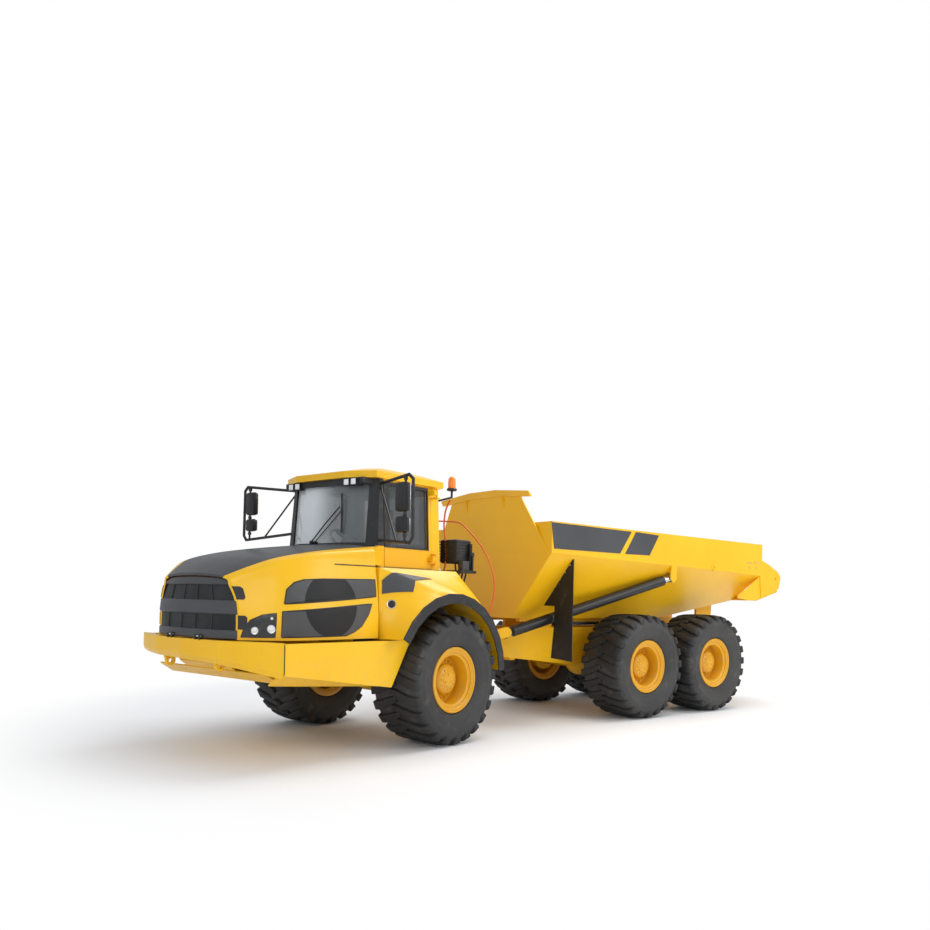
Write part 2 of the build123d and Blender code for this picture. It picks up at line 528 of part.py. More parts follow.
def cylinder_pair(start, end, hinge, eye_dir, size):
    "Barrel and rod on the line from pin to pin; the hinge and the rod's eye have their own directions"
    a, b = Vector(*start), Vector(*end)
    along = (b - a).normalized()
    full = (b - a).length
    plane = Plane(origin=a, x_dir=Vector(*hinge), z_dir=along)
    eye_r, neck = size["eye_r"], size["eye_t"] / 2 - 2
    barrel_r, rod_r = size["barrel_r"], size["rod_r"]
    wide = eye_r + SWING + 12
    bore = size["rod_reach"] - 15

    def turned(profile):
        return plane * revolve(make_face(Polyline(*[(r, 0, t) for r, t in profile], close=True)), Axis.Z)

    barrel = turned([(0, eye_r * 0.6), (neck, eye_r * 0.6), (neck, wide), (barrel_r, wide + 30),
                     (barrel_r, size["barrel_len"]), (rod_r + FIT, size["barrel_len"]), (rod_r + FIT, bore), (0, bore)])
    barrel += Plane(origin=a, z_dir=Vector(*hinge)) * Cylinder(eye_r, size["eye_t"])
    barrel -= Plane(origin=a, z_dir=Vector(*hinge)) * Cylinder(size["pin_r"] + FIT, size["eye_t"] * 2)
    piston = turned([(0, size["rod_start"]), (rod_r, size["rod_start"]), (rod_r, full - eye_r * 0.6),
                     (0, full - eye_r * 0.6)])
    piston += Plane(origin=b, z_dir=Vector(*eye_dir)) * Cylinder(eye_r, size["eye_t"])
    return barrel, piston


def span(start, end):
    return (Vector(*end) - Vector(*start)).length


def steer_eye(angle, sign):
    "Place of a steering rod's eye with the rear unit turned by the angle from straight"
    a = radians(angle)
    dx, y = STEER_B[0] - HITCH_X, sign * STEER_B[1]
    return HITCH_X + dx * cos(a) - y * sin(a), dx * sin(a) + y * cos(a), ROLL_Z


STEER_SHORT = span(STEER_A, steer_eye(-STEER_MAX, 1))
STEER_LONG = span(STEER_A, steer_eye(STEER_MAX, 1))
for side, sign in (("left", 1), ("right", -1)):
    start = (STEER_A[0], sign * STEER_A[1], ROLL_Z)
    end = steer_eye(STEER_REST, sign)
    rod_len = STEER_LONG - STEER_SHORT + 190
    size = dict(eye_r=STEER_EYE_R, eye_t=EYE_T, barrel_r=BARREL_R, rod_r=STEER_ROD_R, pin_r=STEER_PIN_R,
                barrel_len=STEER_SHORT - 115, rod_reach=STEER_SHORT - rod_len, rod_start=span(start, end) - rod_len)
    barrel, piston = cylinder_pair(start, end, (0, 0, 1), (0, 0, 1), size)
    save(f"steer_barrel_{side}", barrel)
    save(f"steer_rod_{side}", piston)

# Rear frame: socket, two beams over the axles, cross members, hoist arms and tipping bores
REAR_IN, REAR_OUT, REAR_TOP = 300.0, 400.0, 1330.0
HOIST_A = (-1940.0, 720.0, 1265.0)      # barrel pin of the hoist cylinders
HOIST_B = (-4840.0, 1278.0, 2125.0)     # rod eye on the body
rear_profile = [
    (SOCKET_X1, 760), (SOCKET_X1, 1100), (-1760, 1200), (-2300, REAR_TOP), (-6700, REAR_TOP), (-6860, 1400),
    (TIP_X - 90, 1400), (TIP_X - 90, 1180), (-6700, 1080), (-3900, 1080), (-3750, 740), (-3640, 745), (-2150, 915),
    (-1860, 760),
]
rear_frame = both(side_plate(rear_profile, REAR_IN, REAR_OUT))
socket = rod((SOCKET_X0, 0, ROLL_Z), (SOCKET_X1, 0, ROLL_Z), SOCKET_R)
socket += box(SOCKET_X0, SOCKET_X1, -REAR_IN - 5, REAR_IN + 5, ROLL_Z - 140, ROLL_Z + 140)
socket -= rod((SOCKET_X0 - 10, 0, ROLL_Z), (SOCKET_X1 + 10, 0, ROLL_Z), TUBE_R + FIT)
rear_frame += socket
for x0, x1, z0, z1 in ((-2500, -2400, 850, 1300), (-3500, -3400, 850, 1300), (-5060, -4960, 1120, 1300),
                       (-6560, -6480, 1120, 1300)):
    rear_frame += box(x0, x1, -REAR_IN - 5, REAR_IN + 5, z0, z1)
rear_frame -= rod((TIP_X, -500, TIP_Z), (TIP_X, 500, TIP_Z), 45 + FIT)
for x in (-3000, -5200):
    rear_frame += both(box(x - 150, x + 150, REAR_IN + 10, REAR_OUT - 10, REAR_TOP - 5, 1420))

# Bogie: rocking beams under the frame that carry both rear axles
BOGIE_X = (MID_X + REAR_X) / 2
bogie = side_plate([(MID_X + 130, 906), (MID_X + 130, 1000), (BOGIE_X + 160, 1080 - SEAT), (BOGIE_X - 160, 1080 - SEAT),
                    (REAR_X - 130, 1000), (REAR_X - 130, 906), (REAR_X + 130, 906), (BOGIE_X - 250, 860),
                    (BOGIE_X + 250, 860), (MID_X - 130, 906)], REAR_IN + 10, REAR_OUT - 10)
save("bogie_beams", both(bogie), True)
save("mid_axle", axle(MID_X, (REAR_IN + 15, REAR_OUT - 15), 906 - SEAT), True)
save("rear_axle", axle(REAR_X, (REAR_IN + 15, REAR_OUT - 15), 906 - SEAT), True)

# Dump body: V-shaped hull with a folded headboard, open at the top and the rear
BODY_T = 18.0
HOIST_EYE_R, HOIST_EYE_T = 66.0, 60.0
FLOOR = 1490.0
# x; floor z and half width; bend z and half width; rail z
body_rows = (
    (-2195, 1475, 570, 2395, 1350, 2822),
    (-5400, 1475, 570, 2300, 1350, 2790),
    (-7245, 1815, 820, 2235, 1350, 2772),
)


def body_hull(inset, lift):
    sections = []
    for x, z_floor, y_floor, z_bend, y_bend, z_rail in body_rows:
        half = [(y_floor - inset * 0.5, z_floor + inset), (y_bend - inset, z_bend + inset * 0.2), (y_bend - inset, z_rail + lift)]
        sections.append([(x, y, z) for y, z in half] + [(x, -y, z) for y, z in reversed(half)])
    return ruled(sections)


load_space = Pos(-BODY_T, 0, 0) * body_hull(BODY_T, 60)
hull = body_hull(0, 0) - load_space
hull -= box(-7345, -7205, -1349 + BODY_T, 1349 - BODY_T, 1880, 3000)
# headboard: one central sheet leaning forward, two folded corners and a raised strip along the top
HEAD_Z, HEAD_X, HEAD_LEAN = 3240.0, -2195.0, 95.0
sheet_rows = ((2395, 1290, HEAD_X), (HEAD_Z, 765, HEAD_X + HEAD_LEAN))
centre = ruled([
    [(x, y, z), (x, -y, z), (x - BODY_T, -y, z), (x - BODY_T, y, z)] for z, y, x in sheet_rows
])
# x and y of the inner and the outer edge, and the height of each, from the bend up to the top
fold_rows = ((-2195, 1290, -2225, 1350, 2395, 2395), (-2141, 985, -2225, 1345, 2884, 2815),
             (-2104, 785, -2210, 1100, 3205, 3146))
fold = ruled([
    [(x0, y0, z0), (x0 - BODY_T, y0, z0), (x1, y1 - BODY_T, z1), (x1, y1, z1)] for x0, y0, x1, y1, z0, z1 in fold_rows
])
hull += centre + both(fold)
# the strip: y, lower and upper height
strip_rows = ((-1005, 3176, 3250), (-300, 3226, 3318), (300, 3226, 3318), (1005, 3176, 3250))
hull += ruled([
    [(HEAD_X + 60, y, low), (HEAD_X + 105, y, low), (HEAD_X + 145, y, top), (HEAD_X + 127, y, top)]
    for y, low, top in strip_rows
])
for y in (-420, 420):
    hull += side_plate([(HEAD_X + 5, 2800), (HEAD_X + 130, 3225), (HEAD_X + 60, 3225)], y - 8, y + 8)
# floor runners that rest on the frame, tipping brackets, hoist brackets and tail plates
runner = box(-6200, -2500, REAR_IN + 10, REAR_OUT - 10, 1420 + SEAT, 1480)
hull += both(runner)
bracket = side_plate([(-6650, 1500), (-6760, 1300), (TIP_X, 1260), (-7060, 1300), (-7100, 1797), (-6650, 1715)],
                     REAR_OUT + SWING, REAR_OUT + SWING + 40)
bracket += rod((TIP_X, REAR_IN - 20, TIP_Z), (TIP_X, REAR_OUT + SWING + 5, TIP_Z), 45)
hull += both(bracket)
ear_line = [(HOIST_B[0] + dx, HOIST_B[2] + dz) for dx, dz in ((70, 95), (70, -20), (0, -75), (-70, -20), (-70, 95))]
ears = box(HOIST_B[0] - 70, HOIST_B[0] + 70, HOIST_B[1] - 90, 1349, HOIST_B[2] + 90, 2330)
for y0 in (HOIST_B[1] - 90, HOIST_B[1] + 46):
    ears += side_plate(ear_line, y0, y0 + 18)
hull += both(ears - load_space)
TAIL_HOLE = (-7665.0, 2185.0, 30.0)     # x, z and radius of the tailgate's pin hole
TAIL_Y, TAIL_T = 1334.0, 32.0
tail = side_plate([(-7190, 2320), (-7244, 2500), (-7445, 2442), (-7765, 2305), (-7835, 2220), (-7785, 2020),
                   (-7530, 1905), (-7240, 1868)], TAIL_Y - TAIL_T / 2, TAIL_Y + TAIL_T / 2)
tail -= rod((TAIL_HOLE[0], 1250, TAIL_HOLE[1]), (TAIL_HOLE[0], 1400, TAIL_HOLE[1]), TAIL_HOLE[2])
hull += both(tail)
floor_tail = side_plate([(-7150, 1802), (-7150, 1830), (-7785, 1990), (-7785, 1962)], -1320, 1320)
hull += floor_tail
save("dump_body", hull, True)

# Rubber flaps that hang from the body in front of the middle wheels
FLAP_X = -2660.0
flap = cross_plate([(775, 1685), (1285, 2330), (1315, 2320), (1315, 920), (955, 940), (955, 1680)], FLAP_X - 6, FLAP_X + 6)
flap -= body_hull(-SEAT, 0)
save("body_flaps", both(flap), True)


# Hoist cylinders: each lies in the plane through its base pin and both ends of its eye's travel
def tipped(point, angle):
    "Place of a body point after the body has tipped by the angle"
    a = radians(angle)
    dx, dz = point[0] - TIP_X, point[2] - TIP_Z
    return TIP_X + dx * cos(a) - dz * sin(a), point[1], TIP_Z + dx * sin(a) + dz * cos(a)


HOIST_R, HOIST_ROD_R, HOIST_PIN_R = 76.0, 50.0, 40.0
HOIST_C = tipped(HOIST_B, TIP_MAX)
hoist_axis = (Vector(*HOIST_B) - Vector(*HOIST_A)).cross(Vector(*HOIST_C) - Vector(*HOIST_A)).normalized()
hoist_plane = Plane(origin=Vector(*HOIST_A), x_dir=(Vector(*HOIST_A) - Vector(*HOIST_B)).normalized(), z_dir=hoist_axis)
clevis_gap = HOIST_EYE_T / 2 + SWING
clevis = Cylinder(HOIST_PIN_R, 2 * clevis_gap + 40)
for t in (-clevis_gap - 12.5, clevis_gap + 12.5):
    clevis += Pos(0, 0, t) * Cylinder(75, 25)
    clevis += Pos(55, 0, t) * Box(110, 150, 25)
clevis += Pos(105, 0, 0) * Box(40, 150, 2 * clevis_gap + 50)
clevis = hoist_plane * clevis
arm_end = hoist_plane.from_local_coords(Vector(105, 0, 0))
clevis += rod((arm_end.X, REAR_OUT - 20, arm_end.Z - 60), arm_end, 55) - hoist_plane * Cylinder(76, 2 * clevis_gap)
rear_frame += both(clevis)
save("rear_frame", rear_frame, True)
HOIST_REST, HOIST_FULL = span(HOIST_A, HOIST_B), span(HOIST_A, HOIST_C)
for side, sign in (("left", 1), ("right", -1)):
    hinge = (hoist_axis.X, sign * hoist_axis.Y, hoist_axis.Z)
    size = dict(eye_r=HOIST_EYE_R, eye_t=HOIST_EYE_T, barrel_r=HOIST_R, rod_r=HOIST_ROD_R, pin_r=HOIST_PIN_R,
                barrel_len=HOIST_REST - 165, rod_reach=135, rod_start=125)
    barrel, piston = cylinder_pair((HOIST_A[0], sign * HOIST_A[1], HOIST_A[2]),
                                   (HOIST_B[0], sign * HOIST_B[1], HOIST_B[2]), hinge, (0, 1, 0), size)
    save(f"hoist_barrel_{side}", barrel, True)
    save(f"hoist_rod_{side}", piston, True)

# The file's origin: middle of the whole truck, on the ground
low = [min(getattr(shape.bounding_box().min, a) for shape in made.values()) for a in "XYZ"]
high = [max(getattr(shape.bounding_box().max, a) for shape in made.values()) for a in "XYZ"]
ORIGIN = (-(low[0] + high[0]) / 2, -(low[1] + high[1]) / 2, -low[2])
for name, shape in made.items():
    export_step(Pos(*ORIGIN) * shape, f"parts/{name}.step")
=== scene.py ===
# Articulated six-wheel dump truck. Metres, +X forward, +Y left, +Z up.
import bpy
import bmesh
from math import cos, pi, radians, sin, tau
from mathutils import Matrix, Vector


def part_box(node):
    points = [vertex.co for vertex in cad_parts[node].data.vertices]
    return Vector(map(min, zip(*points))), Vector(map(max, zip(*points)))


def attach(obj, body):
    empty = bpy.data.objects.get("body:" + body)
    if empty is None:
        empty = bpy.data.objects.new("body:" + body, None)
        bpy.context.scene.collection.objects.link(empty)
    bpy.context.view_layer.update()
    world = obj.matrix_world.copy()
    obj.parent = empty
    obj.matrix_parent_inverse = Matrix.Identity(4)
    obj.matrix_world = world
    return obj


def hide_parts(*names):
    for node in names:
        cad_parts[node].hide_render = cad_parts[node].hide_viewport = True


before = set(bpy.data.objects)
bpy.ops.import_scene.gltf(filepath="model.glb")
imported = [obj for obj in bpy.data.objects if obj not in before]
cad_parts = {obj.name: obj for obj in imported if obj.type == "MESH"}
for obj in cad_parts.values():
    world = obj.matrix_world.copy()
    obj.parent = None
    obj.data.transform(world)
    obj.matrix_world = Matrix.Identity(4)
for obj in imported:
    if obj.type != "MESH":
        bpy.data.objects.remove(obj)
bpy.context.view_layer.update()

# Camera. It stands to the front left of the truck, a little above a person's height, and looks level with its
# picture shifted up. Places count from the middle of the front axle on the ground.
WHEEL_RADIUS = 0.780
PICTURE_SIDE, FOCAL_LENGTH, LEVEL_ROW = 930, 827.213, 594.956
rims = [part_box(f"rim_front_{side}") for side in ("left", "right")]
axle_mid = sum((low + high for low, high in rims), Vector()) / 4
axle_mid.z -= WHEEL_RADIUS
camera_data = bpy.data.cameras.new("camera")
camera = bpy.data.objects.new("camera", camera_data)
bpy.context.scene.collection.objects.link(camera)
bpy.context.scene.camera = camera
camera.matrix_world = (Matrix.Translation(axle_mid + Vector((7.607, 7.641, 1.794)))
                       @ Matrix.Rotation(radians(180 - 51.281), 4, "Z") @ Matrix.Rotation(radians(90), 4, "X")
                       @ Matrix.Rotation(radians(1.217), 4, "Z"))
camera_data.sensor_width = 36.0
camera_data.lens = FOCAL_LENGTH / PICTURE_SIDE * camera_data.sensor_width
camera_data.shift_y = (LEVEL_ROW - PICTURE_SIDE / 2) / PICTURE_SIDE
camera_data.clip_end = 200.0


# White studio: a bright even surround, a large soft lamp overhead and weaker ones from the left and front.
# The floor is pale and plain, and white where the camera sees past it.
def add_node(tree, kind, settings={}, sockets={}):
    "A node with its settings, which come first, and the values or links of its sockets"
    node = tree.nodes.new(kind)
    for key, value in settings.items():
        setattr(node, key, value)
    for key, value in sockets.items():
        if isinstance(value, Value):
            value = value.socket
        if isinstance(value, bpy.types.NodeSocket):
            tree.links.new(value, node.inputs[key])
        else:
            node.inputs[key].default_value = value
    return node


class Value:
    "A shader value that adds, multiplies and compares like a number"

    def __init__(self, tree, socket):
        self.tree, self.socket = tree, socket

    def maths(self, operation, first, second):
        node = add_node(self.tree, "ShaderNodeMath", {"operation": operation}, {0: first, 1: second})
        return Value(self.tree, node.outputs[0])

    def __add__(self, other):
        return self.maths("ADD", self, other)

    def __radd__(self, other):
        return self.maths("ADD", other, self)

    def __sub__(self, other):
        return self.maths("SUBTRACT", self, other)

    def __rsub__(self, other):
        return self.maths("SUBTRACT", other, self)

    def __mul__(self, other):
        return self.maths("MULTIPLY", self, other)

    def __rmul__(self, other):
        return self.maths("MULTIPLY", other, self)

    def __truediv__(self, other):
        return self.maths("DIVIDE", self, other)

    def __pow__(self, other):
        return self.maths("POWER", self, other)

    def __abs__(self):
        return self.maths("ABSOLUTE", self, 0.0)

    def wave(self):
        return self.maths("SINE", self, 0.0)

    def ramp(self, low, high):
        "0 below low, 1 above high, smooth between"
        node = add_node(self.tree, "ShaderNodeMapRange", {"interpolation_type": "SMOOTHSTEP"},
                        {"Value": self, "From Min": low, "From Max": high})
        return Value(self.tree, node.outputs["Result"])


class Finish:
    "One procedural material; its fixed values are set when it is made"

    def __init__(self, name, **fixed):
        self.material = bpy.data.materials.new(name)
        self.material.use_nodes = True
        self.tree = self.material.node_tree
        self.shader = self.tree.nodes["Principled BSDF"]
        for key, value in fixed.items():
            self.shader.inputs[key.replace("_", " ")].default_value = value
        self.place = self.node("ShaderNodeTexCoord").outputs["Object"]
        own = self.node("ShaderNodeVectorMath", {"operation": "SUBTRACT"}, {0: self.place, 1: axle_mid})
        split = self.node("ShaderNodeSeparateXYZ", {}, {"Vector": own.outputs[0]})
        self.x, self.y, self.height = (Value(self.tree, split.outputs[axis]) for axis in "XYZ")

    def node(self, kind, settings={}, sockets={}):
        return add_node(self.tree, kind, settings, sockets)

    def noise(self, scale, detail=3.0, stretch=(1, 1, 1)):
        place = self.node("ShaderNodeMapping", {}, {"Vector": self.place, "Scale": stretch}).outputs[0]
        node = self.node("ShaderNodeTexNoise", {}, {"Vector": place, "Scale": scale, "Detail": detail})
        return Value(self.tree, node.outputs["Fac"])

    def mix(self, share, first, second):
        "The first colour where the share is 0, the second where it is 1"
        first, second = (colour if isinstance(colour, Value) else (*colour, 1) for colour in (first, second))
        node = self.node("ShaderNodeMix", {"data_type": "RGBA"}, {0: share, 6: first, 7: second})
        return Value(self.tree, node.outputs[2])

    def edges(self, radius):
        "1 along sharp edges, 0 on flat faces"
        smooth = self.node("ShaderNodeBevel", {"samples": 4}, {"Radius": radius}).outputs[0]
        plain = self.node("ShaderNodeNewGeometry").outputs["Normal"]
        dot = self.node("ShaderNodeVectorMath", {"operation": "DOT_PRODUCT"}, {0: smooth, 1: plain})
        return (1.0 - Value(self.tree, dot.outputs["Value"])).ramp(0.02, 0.25)

    def drive(self, **values):
        for key, value in values.items():
            self.tree.links.new(value.socket, self.shader.inputs[key.replace("_", " ")])

    def bump(self, height, strength, distance):
        node = self.node("ShaderNodeBump", {}, {"Height": height, "Strength": strength, "Distance": distance})
        self.tree.links.new(node.outputs[0], self.shader.inputs["Normal"])


scene = bpy.context.scene
scene.view_settings.view_transform = "Standard"
world = bpy.data.worlds.new("studio")
scene.world = world
world.use_nodes = True
world.node_tree.nodes.clear()
rays = add_node(world.node_tree, "ShaderNodeLightPath")
surround = add_node(world.node_tree, "ShaderNodeBackground", {},
                    {"Color": (0.93, 0.96, 1.0, 1), "Strength": 0.66})
backdrop = add_node(world.node_tree, "ShaderNodeBackground", {}, {"Color": (1, 1, 1, 1), "Strength": 1.0})
shown = add_node(world.node_tree, "ShaderNodeMixShader", {},
                 {0: rays.outputs["Is Camera Ray"], 1: surround.outputs[0], 2: backdrop.outputs[0]})
add_node(world.node_tree, "ShaderNodeOutputWorld", {}, {0: shown.outputs[0]})
WARM, COOL = (1.0, 0.98, 0.95), (0.97, 0.98, 1.0)
for name, place, aim, size, power, tint in (("lamp_top", (-3.5, 1.5, 11.0), (0, 0, 1.5), 8.0, 1000, WARM),
                                            ("lamp_left", (-2.0, 11.0, 6.0), (-1, 0, 1.2), 6.0, 415, WARM),
                                            ("lamp_front", (12.0, 5.0, 4.5), (1, 0, 1.2), 5.0, 190, COOL)):
    lamp = bpy.data.objects.new(name, bpy.data.lights.new(name, "AREA"))
    lamp.data.size = size
    lamp.data.energy = power
    lamp.data.color = tint
    lamp.location = place
    lamp.rotation_euler = (Vector(aim) - Vector(place)).to_track_quat("-Z", "Y").to_euler()
    scene.collection.objects.link(lamp)
bpy.ops.mesh.primitive_plane_add(size=200.0)
floor = bpy.context.object
floor.name = "studio_floor"
floor_look = Finish("studio_floor", Base_Color=(0.90, 0.91, 0.93, 1), Roughness=0.6)
distance = floor_look.node("ShaderNodeVectorMath", {"operation": "LENGTH"}, {0: floor_look.place})
rays = floor_look.node("ShaderNodeLightPath")
seen_past = (Value(floor_look.tree, distance.outputs["Value"]).ramp(5.0, 7.6)
             * Value(floor_look.tree, rays.outputs["Is Camera Ray"]))
white = floor_look.node("ShaderNodeEmission")
shown = floor_look.node("ShaderNodeMixShader", {},
                        {0: seen_past, 1: floor_look.shader.outputs[0], 2: white.outputs[0]})
floor_look.tree.links.new(shown.outputs[0], floor_look.tree.nodes["Material Output"].inputs["Surface"])
floor.data.materials.append(floor_look.material)


# Paints and other finishes of the whole truck: yellow enamel on the steel, dark grey on the hood's top and
# stripes, black plastic, bare and painted steel, rubber and glass. Each varies in colour, gloss and grain.
def painted(name, deep, bright, roughness, dust=(0.42, 0.34, 0.22), dusty=0.25, edge_highlight=0.35, coat=0.12,
            lining=None):
    """Enamel on steel: slow changes of tone, orange peel, thin dust low down, a painted highlight on sharp
    edges
    """
    look = Finish(name, Coat_Weight=coat, Coat_Roughness=0.12, Specular_IOR_Level=0.35)
    clouds, grain = look.noise(0.9, 4.0), look.noise(9.0, 5.0)
    tone = look.mix(clouds.ramp(0.3, 0.7), deep, bright)
    # painted highlight: sharp edges are coloured a lighter tone of the same paint
    edge = look.edges(0.008) * grain.ramp(0.35, 0.6) * edge_highlight
    tone = look.mix(edge, tone, tuple(min(1.0, c * 1.35 + 0.08) for c in bright))
    low_down = (1.0 - look.height.ramp(0.1, 1.5)) * grain.ramp(0.42, 0.72) * dusty
    tone = look.mix(low_down, tone, dust)
    if lining:
        tone = look.mix(lining(look), tone, (0.014, 0.014, 0.015))
    look.drive(Base_Color=tone, Roughness=roughness + 0.12 * grain + 0.4 * low_down)
    look.bump(look.noise(55.0, 2.0) * 0.6 + look.noise(240.0, 1.0) * 0.4, 0.12, 0.004)
    return look.material


CAB_FLOOR, CAB_HEIGHT, CAB_HALF, CAB_LEAN, CAB_WALL = 1.750, 1.455, 0.820, 0.070, 0.030


def inside_cab(look):
    "1 on the cab's front and inner faces, which are lined in black; the walls lean in towards the roof"
    wall = CAB_HALF - CAB_WALL - CAB_LEAN / CAB_HEIGHT * (look.height - CAB_FLOOR)
    return (1.0 - (abs(look.y) - wall).ramp(0.0, 0.004)) * look.x.ramp(-0.37, -0.36)


YELLOW = (0.88, 0.47, 0.004), (0.93, 0.53, 0.008)
yellow = painted("yellow_paint", *YELLOW, 0.30)
rim_yellow = painted("rim_yellow_paint", (0.66, 0.31, 0.004), (0.74, 0.37, 0.007), 0.34)
cab_yellow = painted("cab_yellow_paint", *YELLOW, 0.30, lining=inside_cab)
hood_grey = painted("dark_grey_paint", (0.050, 0.052, 0.056), (0.068, 0.070, 0.074), 0.46, edge_highlight=0.2, coat=0.1)
steel_black = painted("black_steel", (0.012, 0.012, 0.013), (0.022, 0.022, 0.024), 0.38, edge_highlight=0.3, coat=0.2)


def moulded(name, dark, light, roughness, grain_scale=160.0):
    "Moulded plastic or rubber: fine leather grain, patchy gloss, a trace of dust"
    look = Finish(name, Specular_IOR_Level=0.45)
    clouds, grain = look.noise(1.6, 4.0), look.noise(grain_scale, 2.0)
    tone = look.mix(clouds.ramp(0.3, 0.7), dark, light)
    tone = look.mix(look.noise(6.0, 6.0).ramp(0.55, 0.8) * 0.22, tone, (0.20, 0.18, 0.15))
    look.drive(Base_Color=tone, Roughness=roughness + 0.16 * clouds)
    look.bump(grain, 0.25, 0.003)
    return look.material


black_plastic = moulded("black_plastic", (0.010, 0.010, 0.011), (0.022, 0.022, 0.023), 0.42)
rubber = moulded("tyre_rubber", (0.026, 0.026, 0.027), (0.050, 0.049, 0.048), 0.55, 90.0)
# painted shade: the tread lugs take the carcass's rubber at about half its lightness
shaded_tread_rubber = moulded("shaded_tread_rubber", (0.013, 0.013, 0.014), (0.028, 0.028, 0.028), 0.60, 60.0)
amber = moulded("amber_lens", (0.80, 0.17, 0.01), (0.95, 0.26, 0.02), 0.10, 30.0)
hose_orange = moulded("orange_tube", (0.62, 0.10, 0.012), (0.74, 0.15, 0.02), 0.35, 80.0)
lens_white = moulded("lamp_lens", (0.80, 0.82, 0.84), (0.94, 0.95, 0.96), 0.08, 40.0)
lamp_housing = moulded("lamp_housing", (0.020, 0.021, 0.023), (0.050, 0.052, 0.056), 0.08, 20.0)
seat_cloth = moulded("seat_cloth", (0.030, 0.031, 0.034), (0.060, 0.062, 0.066), 0.85, 220.0)
flap_rubber = moulded("flap_rubber", (0.006, 0.006, 0.007), (0.014, 0.014, 0.015), 0.5, 120.0)


def cast(name, dark, light, metallic, roughness):
    """Bare or cast metal: brushed grain and stains"""
    look = Finish(name, Metallic=metallic)
    brushed, stains = look.noise(14.0, 3.0, (1, 1, 18)), look.noise(4.0, 6.0)
    tone = look.mix(brushed * 0.6 + stains * 0.4, dark, light)
    look.drive(Base_Color=tone, Roughness=roughness + 0.25 * stains)
    look.bump(brushed + stains, 0.15, 0.002)
    return look.material


bright_steel = cast("bright_steel", (0.42, 0.42, 0.43), (0.72, 0.72, 0.74), 1.0, 0.16)
cast_metal = cast("cast_metal", (0.05, 0.05, 0.05), (0.12, 0.12, 0.115), 0.7, 0.5)
mirror_glass = cast("mirror_glass", (0.62, 0.64, 0.66), (0.80, 0.82, 0.84), 1.0, 0.03)


def perforated(name, dark, light, pitch, fan=None):
    "Sheet with a close grid of holes; a fan shroud behind it may show as a darker disc (x, height, radius)"
    look = Finish(name, Specular_IOR_Level=0.35)
    across = ((look.x + look.y * 0.6) * (tau / pitch)).wave() * (look.height * (tau / pitch)).wave()
    holes = across.ramp(0.15, 0.5)
    tone = look.mix(look.noise(3.0, 4.0).ramp(0.3, 0.7), dark, light)
    if fan:
        x, z, radius = fan
        gap = ((look.x - x) ** 2.0 + (look.height - z) ** 2.0) ** 0.5
        tone = look.mix((1.0 - (gap - radius).ramp(0.0, 0.01)) * 0.94, tone, (0.006, 0.006, 0.007))
    tone = look.mix(holes * 0.6, tone, (0.004, 0.004, 0.004))
    look.drive(Base_Color=tone, Roughness=0.35 + 0.3 * look.noise(5.0, 4.0))
    look.bump(1.0 - holes, 0.5, 0.003)
    return look.material


wire_mesh = perforated("wire_mesh", (0.012, 0.012, 0.013), (0.028, 0.028, 0.030), 0.022)
vent_grey = perforated("vent_grey", (0.080, 0.081, 0.085), (0.110, 0.111, 0.115), 0.016,
                       (1.70, 1.655, 0.335))


def clear(name, tint, roughness, see_through, bright=None):
    """Glass: thin tinted sheet with a faint film of dust; a windscreen may get a painted reflection of a
    bright sky on its far side
    """
    look = Finish(name, Transmission_Weight=0.0, Alpha=1.0, Specular_IOR_Level=0.8)
    film = look.noise(3.0, 6.0)
    tone = look.mix(film.ramp(0.4, 0.8) * 0.4, tint, tuple(c * 1.6 for c in tint))
    cover = see_through + 0.10 * film
    if bright:
        # painted reflection: towards the far side the glass is coloured lighter and made less clear
        share = (0.30 - look.y).ramp(0.0, 0.55)
        tone, cover = look.mix(share, tone, bright), cover + share * 0.45
    look.drive(Base_Color=tone, Roughness=roughness + 0.08 * film, Alpha=cover)
    return look.material


# the last colour is the painted reflection on the windscreen's far side
front_glass = clear("front_glass", (0.30, 0.33, 0.34), 0.03, 0.30, (0.86, 0.90, 0.92))
side_glass = clear("side_glass", (0.090, 0.100, 0.104), 0.03, 0.55)

# The truck's two units, drawn straight one behind the other; the rear one then stands turned about the pin
# that steers it. The right side mirrors the left. The plain pieces get their finish here, yellow unless said
# otherwise.
STEERING_PIN_X, STEERED = -1.210, radians(-13.1)
FRONT = Matrix.Translation(axle_mid)
PIN = Matrix.Translation((STEERING_PIN_X, 0, 0))
REAR = FRONT @ PIN @ Matrix.Rotation(STEERED, 4, "Z") @ PIN.inverted()
MIRRORED = FRONT @ Matrix.Scale(-1, 4, (0, 1, 0))
BOTH_SIDES = (("left", FRONT), ("right", MIRRORED))


def dress(material, slot, *names):
    for name in names:
        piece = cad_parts[name]
        piece.data.materials.clear()
        piece.data.materials.append(material)


dress(yellow, "yellow_paint", *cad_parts)
dress(cab_yellow, "yellow_paint", "cab_body", "door_left")
dress(hood_grey, "dark_grey_paint", "cowl")
dress(black_plastic, "black_plastic", "fender_lips", "dashboard", "mirror_frames", "roof_lamps")
dress(front_glass, "tinted_glass", "windscreen")
dress(side_glass, "tinted_glass", "cab_windows", "door_glass")
dress(cast_metal, "cast_metal", "engine")
for side in ("left", "right"):
    dress(steel_black, "dark_steel", f"steer_barrel_{side}", f"hoist_barrel_{side}")
    dress(bright_steel, "dark_steel", f"steer_rod_{side}", f"hoist_rod_{side}")


# Tyres: wide earthmover tyres of black rubber. The carcass is turned from its section; slanted lugs stand
# round both shoulders, half a pitch apart, and run down onto the sidewall. The lugs are coloured darker as
# painted shade.
def mesh_of(name, corners, faces, smooth=False):
    mesh = bpy.data.meshes.new(name)
    mesh.from_pydata([tuple(p) for p in corners], [], faces)
    work = bmesh.new()
    work.from_mesh(mesh)
    bmesh.ops.recalc_face_normals(work, faces=work.faces)
    work.to_mesh(mesh)
    work.free()
    if smooth:
        mesh.shade_smooth()
    return mesh


